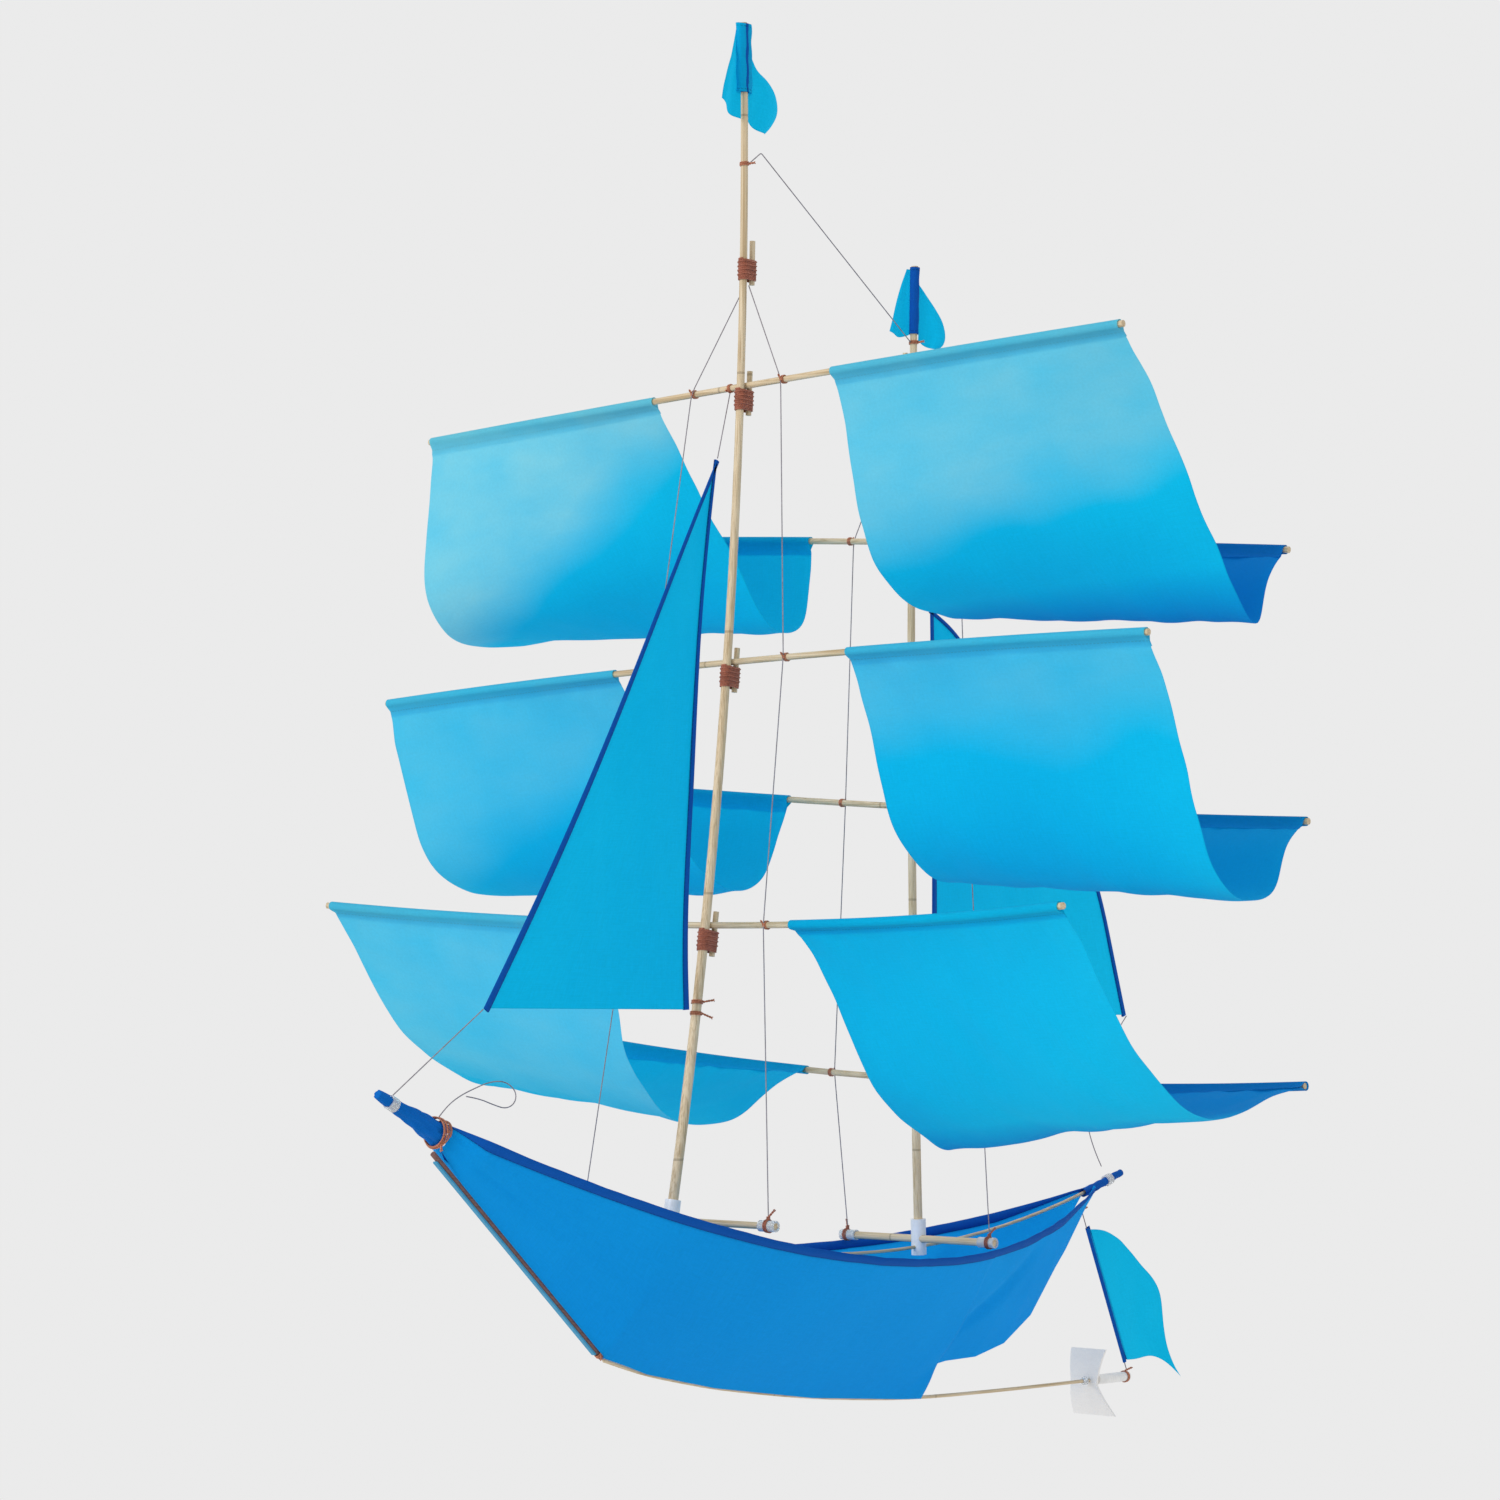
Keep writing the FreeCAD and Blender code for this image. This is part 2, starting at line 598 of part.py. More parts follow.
def sail_shape(level, side, inner_y, outer_y, inner_profile, outer_profile):
    fore, rear = YARD_BENDS["fore_yard_" + level], YARD_BENDS["rear_yard_" + level]

    def ends(y):
        return fore.at(y), rear.at(y)

    guides = []
    for y, profile in ((inner_y, inner_profile), (outer_y, outer_profile)):
        front_end, rear_end = (vec(p.x, 0, p.z) for p in ends(side * y))
        guides.append((resample_profile(profile, front_end, rear_end), front_end, rear_end))
    wires = []
    for step in range(SAIL_STATIONS):
        share = step / (SAIL_STATIONS - 1)
        y = side * (inner_y + (outer_y - inner_y) * share)
        front_end, rear_end = (vec(p.x, 0, p.z) for p in ends(y))
        blend = [((1 - share) * a[0] + share * b[0], (1 - share) * a[1] + share * b[1])
                 for a, b in zip(guides[0][0], guides[1][0])]
        front_shift = front_end - (guides[0][1] * (1 - share) + guides[1][1] * share)
        profile = []
        for index, (x, z) in enumerate(blend):
            fade = max(0.0, 1 - index / 4.0)
            profile.append((x + front_shift.x * fade, z + front_shift.z * fade))
        section = sling_section(y, front_end, rear_end, profile)
        wires.append(Part.makePolygon(section + section[:1]))
    cloth = Part.makeLoft(wires, True, True)
    bore = YARD_R + 0.2
    return cloth.cut([fore.rod(bore), rear.rod(bore)])


def build_square_sails():
    for name, (level, side, inner_y, outer_y, inner_profile, outer_profile) in SAILS.items():
        feature(name, sail_shape(level, side, inner_y, outer_y, inner_profile, outer_profile))


def flat_cloth(points, thick=CLOTH):
    """A flat cloth in the ship's middle plane, from its outline (x, z)."""
    outline = [vec(x, -thick / 2, z) for x, z in points]
    face = Part.Face(Part.makePolygon(outline + outline[:1]))
    return face.extrude(vec(0, thick, 0))


JIB = [(47, 591), (40, 540), (31, 470), (26, 400), (22, 330), (18, 240), (17, 190), (19, 152),
       (-95, 156), (-212, 153)]
SPANKER = [(323, 491), (352, 477), (395, 442), (450, 396), (512, 335), (560, 272), (588, 204), (608, 147),
           (470, 143), (328, 148)]


def build_stay_sails():
    feature("jib", flat_cloth(JIB))
    feature("spanker", flat_cloth(SPANKER))


# ---------------------------------------------------------------- pennants, rudder and propeller

PENNANT_FIT = 0.35

# Each pennant: mast, bottom and top of its sleeve, how far it stands turned about the mast in
# degrees, and the outline (x, z) of its cloth before that turn.
PENNANTS = {
    "fore_pennant": (FORE, 893, 949, 0, [(75, 949), (82, 949), (90, 916), (112, 902), (119, 886), (104, 863),
                                      (80, 870), (66, 873), (49, 880), (63, 926), (71, 949)]),
    "rear_pennant": (REAR, 723, 780, -20, [(299, 780), (304, 764), (313, 755), (323, 742), (330, 722), (322, 712),
                                       (303, 722), (295, 722), (272, 723), (278, 742), (291, 778)]),
}


def build_pennants():
    """A cloth sleeve that turns on each masthead, with the drooping cloth that flies from it."""
    for name, (mast, low, high, turn, outline) in PENNANTS.items():
        middle = (low + high) / 2
        foot = mast.axis(middle) - mast.up(middle) * ((high - low) / 2)
        bore_r = mast.radius(low) + PENNANT_FIT
        sleeve = Part.makeCylinder(bore_r + 1.0, high - low, foot, mast.up(middle))
        bore_foot = foot - mast.up(middle) * 45
        bore = Part.makeCylinder(bore_r, high - low + 60, bore_foot, mast.up(middle))
        fly = flat_cloth(outline, 1.4)
        fly.rotate(foot, mast.up(middle), turn)
        feature(name, sleeve.fuse(fly).cut(bore))


STERN_TIE = vec(543, 0, -25.5)
TAIL_TIE = vec(611, 0, -168.5)
RUDDER = [(549, -42), (588, -48), (632, -78), (654, -96), (666, -147), (690, -180), (664, -162),
          (650, -159), (612, -160)]


def build_rudder():
    """A flag sewn round the slanting line from the stern to the tail, free to swing on it."""
    line = straight_rod(STERN_TIE, TAIL_TIE, LINE_R)
    feature("rudder_line", line)
    way = (TAIL_TIE - STERN_TIE).normalize()
    top = STERN_TIE + way * 17
    hem_length = 134
    hem = Part.makeCylinder(2.0, hem_length, top, way)
    bore = Part.makeCylinder(LINE_R + FIT, hem_length + 40, top - way * 20, way)
    feature("rudder_flag", hem.fuse(flat_cloth(RUDDER)).cut(bore))


PROPELLER_X = 556.0
KEEL_TAIL_Z = KEEL_ROUTE[-1].z


def build_tail():
    """Bead, notched foam propeller and white end tube on the keel spar's tail."""
    rod_r = size("keel_spar_d") / 2
    bead_r = size("bead_d") / 2
    bead = Part.makeSphere(bead_r, vec(548, 0, KEEL_TAIL_Z))
    rod = Part.makeCylinder(rod_r + FIT, 40, vec(530, 0, KEEL_TAIL_Z), X_AXIS)
    feature("propeller_bead", bead.cut(rod))
    thick = size("propeller_thick")
    outline = [(-12, 27), (25, 27), (20, 2), (20, -4), (24, -31), (-21, -31), (-8.5, -4), (-8.5, 2)]
    flat = Part.Face(Part.makePolygon([vec(-20, y, z) for y, z in outline + outline[:1]]))
    block = flat.extrude(vec(50, 0, 0))
    bent = [(9, 30), (3, 17), (0, 5), (0, -8), (4, -20), (11, -34)]
    spine = Part.BSplineCurve()
    spine.interpolate([vec(x, -30, z) for x, z in bent])
    front = spine.discretize(Number=15)
    back = [p + vec(thick, 0, 0) for p in reversed(front)]
    slab = Part.Face(Part.makePolygon(front + back + front[:1])).extrude(vec(0, 60, 0))
    hole = Part.makeCylinder(rod_r + FIT, 60, vec(-20, 0, 0), X_AXIS)
    blade = block.common(slab).cut(hole)
    feature("propeller", blade, vec(PROPELLER_X - thick / 2, 0, KEEL_TAIL_Z))
    tube_start = vec(566, 0, KEEL_TAIL_Z)
    tube = Part.makeCylinder(size("tail_tube_d") / 2, size("tail_tube_length"), tube_start, X_AXIS)
    bore = Part.makeCylinder(rod_r + FIT, size("tail_tube_length"), tube_start, X_AXIS)
    feature("tail_tube", tube.cut(bore))


# ---------------------------------------------------------------- bow and stern fittings

def ring_on(bend, distance, width, outer_r, inner_r):
    """A short tube round a bent pole."""
    start = bend.at(distance)
    way = bend.tangent(distance)
    tube = Part.makeCylinder(outer_r, width, start, way)
    return tube.cut(Part.makeCylinder(inner_r, width, start, way))


BINDING_AT = 52.0
BINDING_R = 10.6
BOW_NOSE_LENGTH = 17.0
STERN_WRAP_LENGTH = 43.0
STERN_WRAP_R = 3.4


def build_ends():
    """Cloth wrapped round both ends of the deck spar, its clear collars and the bow's copper binding."""
    spar_r = size("deck_spar_d") / 2
    collar_r = size("collar_d") / 2
    bow = -DECK_BEND.half
    way = DECK_BEND.tangent(bow + 30)
    cone_start = DECK_BEND.at(bow + 4)
    cone = Part.makeCone(3.4, BINDING_R - 1.4, BINDING_AT + 4, cone_start, way)
    nose = Part.makeCone(2.4, 3.4, BOW_NOSE_LENGTH, cone_start - way * BOW_NOSE_LENGTH, way)
    cone = cone.fuse(nose)
    stem = straight_rod(STEM_TOP, STEM_FOOT, size("stem_spar_d") / 2 + FIT)
    cone = cone.cut([DECK_BEND.rod(spar_r + FIT), stem])
    feature("bow_wrap", cone)
    collar_foot = cone_start - way * 3
    collar = Part.makeCylinder(collar_r, size("collar_width"), collar_foot, way)
    inner = Part.makeCone(4.1, 4.5, size("collar_width"), collar_foot, way)
    feature("bow_collar", collar.cut(inner))
    turns = []
    for step in (0, 2.6, 5.2):
        radius = BINDING_R - 1.4 + WIRE_R
        turns.append(Part.makeTorus(radius, WIRE_R, cone_start + way * (BINDING_AT - 4 + step), way))
    feature("bow_binding", Part.makeCompound(turns))
    stern = DECK_BEND.half - 22
    way = DECK_BEND.tangent(stern)
    wrap_start = DECK_BEND.at(stern) - way * (STERN_WRAP_LENGTH / 2)
    wrap = Part.makeCylinder(STERN_WRAP_R, STERN_WRAP_LENGTH, wrap_start, way)
    feature("stern_wrap", wrap.cut(DECK_BEND.rod(spar_r + FIT)))
    feature("stern_collar", ring_on(DECK_BEND, stern, size("collar_width"), 5.0, STERN_WRAP_R + FIT))


# ---------------------------------------------------------------- lines and ties

# Distance from the middle of the ship, on the port and starboard side, at which each shroud is tied
# to the top, middle and low yard, and at which it is knotted on the deck beam.
SHROUD_TIES = {
    ("fore", "port"): (42, 57, 60, 97), ("fore", "starboard"): (56, 80, 86, 97),
    ("rear", "port"): (51, 62, 70, 76), ("rear", "starboard"): (60, 70, 84, 76),
}


KNOT_R = 1.7


def shroud_side(prefix):
    """Fore shrouds pass ahead of the fore yards, rear shrouds behind the rear yards."""
    return -1 if prefix == "fore" else 1


def shroud_route(prefix, side_name):
    side = SIDES[side_name]
    mast = FORE if prefix == "fore" else REAR
    head_z = HEAD_HEIGHTS[prefix] - size("lashing_height") - 4
    head = mast.axis(head_z) + X_AXIS * (mast.peg_side * (mast.radius(head_z) + 1.5)) + Y_AXIS * side * 2.2
    points = [head]
    ties = SHROUD_TIES[(prefix, side_name)]
    stand = YARD_R + size("wire_d") + LINE_R
    for level, distance in zip(("top", "mid", "low"), ties):
        on_yard = YARD_BENDS["%s_yard_%s" % (prefix, level)].at(side * distance)
        points.append(on_yard + X_AXIS * (shroud_side(prefix) * stand))
    knot_top = size(prefix + "_beam_z") + size("cap_d") / 2 + 2 * KNOT_R + FIT
    points.append(vec(size(prefix + "_beam_x"), side * ties[3], knot_top + FIT))
    return points


def build_shrouds():
    """Four shrouds, the copper ties that hold them to the yards, and the knots at the deck beams."""
    ties = []
    for (prefix, side_name), distances in SHROUD_TIES.items():
        side = SIDES[side_name]
        points = shroud_route(prefix, side_name)
        name = "%s_shroud_%s" % (prefix, side_name)
        feature(name, tube_along(name, points, LINE_R, bend_radius=25))
        for level, distance in zip(("top", "mid", "low"), distances):
            yard = YARD_BENDS["%s_yard_%s" % (prefix, level)]
            ties.append(ring_on(yard, side * distance - 1.6, 3.2, YARD_R + size("wire_d"), YARD_R + FIT / 2))
        ties.append(Part.makeSphere(KNOT_R, points[-1] - Z_AXIS * (KNOT_R + FIT)))
    feature("shroud_ties", Part.makeCompound(ties))


MASTHEAD_TIE_Z = 835.0
REAR_HEAD_TIE_Z = 716.0
JIB_TIE_Y = 16.0


def build_lines():
    fore_top = FORE.axis(MASTHEAD_TIE_Z) + X_AXIS * (FORE.radius(MASTHEAD_TIE_Z) + 1.4)
    rear_top = REAR.axis(REAR_HEAD_TIE_Z) - X_AXIS * (REAR.radius(REAR_HEAD_TIE_Z) + 1.4)
    crown = [fore_top, HANG, rear_top]
    feature("masthead_line", tube_along("masthead_line", crown, LINE_R, bend_radius=4))
    yard_point = YARD_BENDS["fore_yard_top"].at(JIB_TIE_Y)
    halyard_top = yard_point - Z_AXIS * (YARD_R + 1.6) - X_AXIS * 1.0
    feature("jib_halyard", straight_rod(vec(47.6, 0, 592.6), halyard_top, LINE_R))
    collar = DECK_BEND.at(-DECK_BEND.half + 5) + Z_AXIS * 6.2
    feature("bow_line", straight_rod(vec(-212.8, 0, 152.3), collar, LINE_R))
    clew = [vec(609, 0, 146), vec(574, 0, 113), vec(551, 0, 76), vec(550, 0, 42), vec(572, 0, 13)]
    feature("clew_line", tube_along("clew_line", clew, LINE_R))
    flying = [vec(-258, 0, 73), vec(-250, 0.3, 80.5), vec(-236, 0.7, 88), vec(-221, 1.1, 93), vec(-204, 1.3, 98),
              vec(-188, 0.6, 98.5), vec(-177, -0.6, 91), vec(-178.5, -1.6, 82), vec(-189, -2.0, 77.5),
              vec(-203, -2.0, 81), vec(-218, -1.7, 85.8), vec(-231, -1.2, 87.6)]
    feature("flying_line", tube_along("flying_line", flying, LINE_R))


def wire_ring(centre, way, inner_r, width=3.0):
    ring = Part.makeCylinder(inner_r + size("wire_d"), width, centre - way * (width / 2), way)
    return ring.cut(Part.makeCylinder(inner_r, width, centre - way * (width / 2), way))


def build_wire_ties():
    """Copper wraps at the mastheads, the jib's and spanker's corners, the forefoot and the tail."""
    stem_way = (STEM_FOOT - STEM_TOP).normalize()
    rings = []
    for mast, height in ((FORE, MASTHEAD_TIE_Z), (REAR, REAR_HEAD_TIE_Z), (FORE, 149.0), (FORE, 158.0),
                         (REAR, 497.0), (REAR, 150.0)):
        rings.append(wire_ring(mast.axis(height), mast.up(height), mast.radius(height - 2) + FIT))
    rings.append(wire_ring(STEM_FOOT - stem_way * 4, stem_way, size("stem_spar_d") / 2 + FIT))
    rings.append(wire_ring(vec(608.5, 0, KEEL_TAIL_Z), X_AXIS, size("tail_tube_d") / 2 + FIT / 2))
    yard = YARD_BENDS["fore_yard_top"]
    rings.append(wire_ring(yard.at(JIB_TIE_Y), yard.tangent(JIB_TIE_Y), YARD_R + FIT / 2))
    feature("wire_ties", Part.makeCompound(rings))


def check_and_write():
    """Stop on any failed object or bad shape, then write one file for each sub-part."""
    doc.recompute()
    failed = [o.Name for o in doc.Objects if "Invalid" in o.State or "Error" in o.State]
    if failed:
        raise RuntimeError("failed objects: " + ", ".join(failed))
    os.makedirs("parts", exist_ok=True)
    for obj in parts:
        if obj.Shape.isNull() or not obj.Shape.isValid() or obj.Shape.Volume <= 0:
            raise RuntimeError(obj.Label + ": bad shape")
        obj.Shape.exportStep("parts/%s.step" % obj.Label)
    print(len(parts), "sub-parts written")


build_masts()
build_yards()
build_pegs()
build_beams()
build_spars()
build_sockets()
build_hull()
build_square_sails()
build_stay_sails()
build_pennants()
build_rudder()
build_tail()
build_ends()
build_shrouds()
build_lines()
build_wire_ties()
check_and_write()
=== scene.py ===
import math

import bpy
import numpy as np
from mathutils import Matrix, Vector, noise


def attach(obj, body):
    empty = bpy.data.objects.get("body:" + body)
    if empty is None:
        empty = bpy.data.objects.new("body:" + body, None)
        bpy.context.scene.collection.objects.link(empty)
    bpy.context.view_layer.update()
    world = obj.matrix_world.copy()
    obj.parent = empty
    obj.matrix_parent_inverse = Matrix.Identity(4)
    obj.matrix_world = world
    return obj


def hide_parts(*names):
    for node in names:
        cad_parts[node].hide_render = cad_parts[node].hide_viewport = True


# Ship kite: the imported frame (poles, sockets, caps) with its cloth, lines, lashings and wire.
# Shapes are laid out in the ship's own millimetres, as the design is: +X towards the stern, +Y to
# starboard, +Z up, from the deck at the foremast's foot. part() carries a point to the frame's metres.

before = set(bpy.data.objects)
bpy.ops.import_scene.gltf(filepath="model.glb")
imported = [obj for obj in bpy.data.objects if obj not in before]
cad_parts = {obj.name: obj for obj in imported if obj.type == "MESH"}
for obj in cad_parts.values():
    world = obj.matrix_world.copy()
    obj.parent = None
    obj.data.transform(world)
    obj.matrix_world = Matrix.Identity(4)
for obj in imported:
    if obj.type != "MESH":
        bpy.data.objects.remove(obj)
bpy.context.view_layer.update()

HANG = Vector((98.0, 0.0, 847.0))
MM = 0.001
YARD_R = 2.6
WIRE_R = 0.55
LINE_D = 0.9
CLEAT_R = 2.3
FIT = 0.1
PORT = -1
STARBOARD = 1
X_AXIS = Vector((1, 0, 0))
Y_AXIS = Vector((0, 1, 0))
Z_AXIS = Vector((0, 0, 1))


def part(point):
    """A point of the ship's layout, in millimetres, in the frame's metres."""
    return (Vector(point) - HANG) * MM


# ---------------------------------------------------------------- where the poles run

class Bend:
    """A pole bent to a circular arc, as in the design."""

    def __init__(self, middle, along, toward, half, bow):
        self.middle = Vector(middle)
        self.along = Vector(along).normalized()
        toward = Vector(toward)
        self.toward = (toward - self.along * toward.dot(self.along)).normalized()
        self.half = half
        self.radius = (half * half + bow * bow) / (2 * bow)

    def at(self, distance):
        angle = math.asin(distance / self.radius)
        drop = self.radius * (1 - math.cos(angle))
        return self.middle + self.along * distance + self.toward * drop

    def tangent(self, distance):
        angle = math.asin(distance / self.radius)
        return self.along * math.cos(angle) + self.toward * math.sin(angle)

    def where(self, axis, value):
        """Distance along the chord at which one coordinate reaches a value."""
        low, high = -self.half, self.half
        for _ in range(40):
            middle = (low + high) / 2
            if self.at(middle)[axis] < value:
                low = middle
            else:
                high = middle
        return low


class Mast:
    """Axis and thickness of a mast at a height, and the side its pegs stand on."""

    def __init__(self, foot, top, bow, base_r, top_r, peg_side):
        foot, top = Vector(foot), Vector(top)
        chord = top - foot
        aft = Vector((chord.z, 0, -chord.x)).normalized()
        toward = aft * (-1 if bow > 0 else 1)
        self.bend = Bend((foot + top) / 2 + aft * bow, chord, toward, chord.length / 2, abs(bow))
        self.base_r = base_r
        self.top_r = top_r
        self.peg_side = peg_side

    def axis(self, height):
        return self.bend.at(self.bend.where(2, height))

    def radius(self, height):
        share = (self.bend.where(2, height) + self.bend.half) / (2 * self.bend.half)
        return self.base_r + (self.top_r - self.base_r) * share

    def up(self, height):
        return self.bend.tangent(self.bend.where(2, height))


FORE = Mast((0, 0, -10), (75, 0, 950), 27.0, 4.1, 2.8, 1)
REAR = Mast((312, 0, -36.5), (299, 0, 781), -7.0, 3.7, 3.0, -1)
MASTS = {"fore": FORE, "rear": REAR}
HEAD_HEIGHTS = {"fore": 758.0, "rear": 690.0}
LASHING_HEIGHT = 18.0

# Each yard: mast, half length, height of its middle, turn about Z and about X in degrees, and how far
# its ends stand aft and up of its middle. These are rounded results of a least-squares fit of a camera and
# the poles to points measured on the photo, as are the camera's own values below.
YARDS = {
    "fore_top": ("fore", 378.5, 654.6, -1.8, -2.2, 6.7, -0.5),
    "fore_mid": ("fore", 402.0, 430.2, 0.1, -1.75, 8.0, -6.4),
    "fore_low": ("fore", 388.0, 218.9, -0.3, 0.3, -52.0, 14.7),
    "rear_top": ("rear", 379.0, 545.7, 2.3, 3.8, -7.2, -3.6),
    "rear_mid": ("rear", 402.5, 322.3, 0.7, 3.6, -7.6, 5.6),
    "rear_low": ("rear", 383.0, 93.8, 2.0, 2.1, 1.6, 16.6),
}


def yard_bend(name):
    which, half, height, turn_z, turn_x, aft, up = YARDS[name]
    mast = MASTS[which]
    turn = Matrix.Rotation(math.radians(turn_z), 3, "Z") @ Matrix.Rotation(math.radians(turn_x), 3, "X")
    stand_off = mast.radius(height) + YARD_R + FIT
    middle = mast.axis(height) + X_AXIS * (mast.peg_side * stand_off)
    return Bend(middle, turn @ Y_AXIS, turn @ Vector((aft, 0, up)), half, math.hypot(aft, up))


YARD_BENDS = {name: yard_bend(name) for name in YARDS}
DECK = Bend((137, 0, -44.5), (912, 0, -79), (0, 0, 1), 457.7, 91.0)
STEM_TOP = Vector((-264, 0, 46))
STEM_FOOT = Vector((-79, 0, -115))
KEEL_TAIL_Z = -174.5


# ---------------------------------------------------------------- materials

MIX_FACTOR, MIX_FIRST, MIX_SECOND, MIX_RESULT = 0, 6, 7, 2
WHITE = (1.0, 1.0, 1.0)


class Finish:
    """A new material, with the few kinds of node that the finishes are made of."""

    def __init__(self, name):
        self.material = bpy.data.materials.new(name)
        self.material.use_nodes = True
        self.nodes = self.material.node_tree.nodes
        self.links = self.material.node_tree.links
        self.shader = self.nodes["Principled BSDF"]

    def feed(self, socket, value):
        """Links a socket, or sets it to a number or to a colour of three numbers."""
        if isinstance(value, bpy.types.NodeSocket):
            self.links.new(value, socket)
        elif isinstance(value, (int, float)):
            socket.default_value = value
        else:
            socket.default_value = (*value, 1.0)

    def settle(self, **values):
        """Feeds the shader's inputs; an underscore in a name stands for a space."""
        for key, value in values.items():
            self.feed(self.shader.inputs[key.replace("_", " ")], value)

    def node(self, kind, **values):
        made = self.nodes.new(kind)
        for key, value in values.items():
            setattr(made, key, value)
        return made

    def textured(self, source, stretch, kind, inputs, **values):
        """A texture read at scaled coordinates; returns its outputs."""
        mapping = self.node("ShaderNodeMapping")
        mapping.inputs["Scale"].default_value = stretch
        self.links.new(source, mapping.inputs["Vector"])
        texture = self.node(kind, **values)
        self.links.new(mapping.outputs["Vector"], texture.inputs["Vector"])
        for key, value in inputs.items():
            texture.inputs[key].default_value = value
        return texture.outputs

    def grain(self, source, stretch, detail):
        return self.textured(source, stretch, "ShaderNodeTexNoise", {"Scale": 1.0, "Detail": detail})["Fac"]

    def ramp(self, factor, stops):
        """Colour ramp from (position, colour) stops."""
        made = self.node("ShaderNodeValToRGB")
        elements = made.color_ramp.elements
        while len(elements) < len(stops):
            elements.new(0.5)
        for element, (position, colour) in zip(elements, stops):
            element.position = position
            element.color = (*colour, 1.0)
        self.links.new(factor, made.inputs["Fac"])
        return made.outputs["Color"]

    def mix(self, factor, first, second, blend="MIX"):
        made = self.node("ShaderNodeMix", data_type="RGBA", blend_type=blend)
        for index, value in ((MIX_FACTOR, factor), (MIX_FIRST, first), (MIX_SECOND, second)):
            self.feed(made.inputs[index], value)
        return made.outputs[MIX_RESULT]

    def product(self, first, second):
        return self.mix(1.0, first, second, "MULTIPLY")

    def maths(self, operation, *values):
        made = self.node("ShaderNodeMath", operation=operation)
        for socket, value in zip(made.inputs, values):
            self.feed(socket, value)
        return made.outputs[0]

    def times(self, first, second):
        return self.maths("MULTIPLY", first, second)

    def bump(self, height, strength, distance, below=None):
        """Raises the surface by a height, on top of another bump."""
        made = self.node("ShaderNodeBump")
        for key, value in (("Strength", strength), ("Distance", distance), ("Height", height)):
            self.feed(made.inputs[key], value)
        if below is not None:
            self.feed(made.inputs["Normal"], below)
        self.settle(Normal=made.outputs["Normal"])
        return made.outputs["Normal"]

    def place(self):
        return self.node("ShaderNodeTexCoord").outputs["Object"]


WEAVE_PITCH = 0.0007
STITCH_HALF_WIDTH = 0.00045
STITCH_PITCH = 0.0034
STITCH_SHARE = 0.66
# The colours of the square sails' painted light (paler) and painted shade (deeper), and of light through the
# paler.
PAINTED_LIGHT = (0.20, 0.66, 0.80)
PAINTED_LIGHT_GLOW = (0.40, 0.80, 0.90)
PAINTED_SHADE = (0.002, 0.16, 0.62)


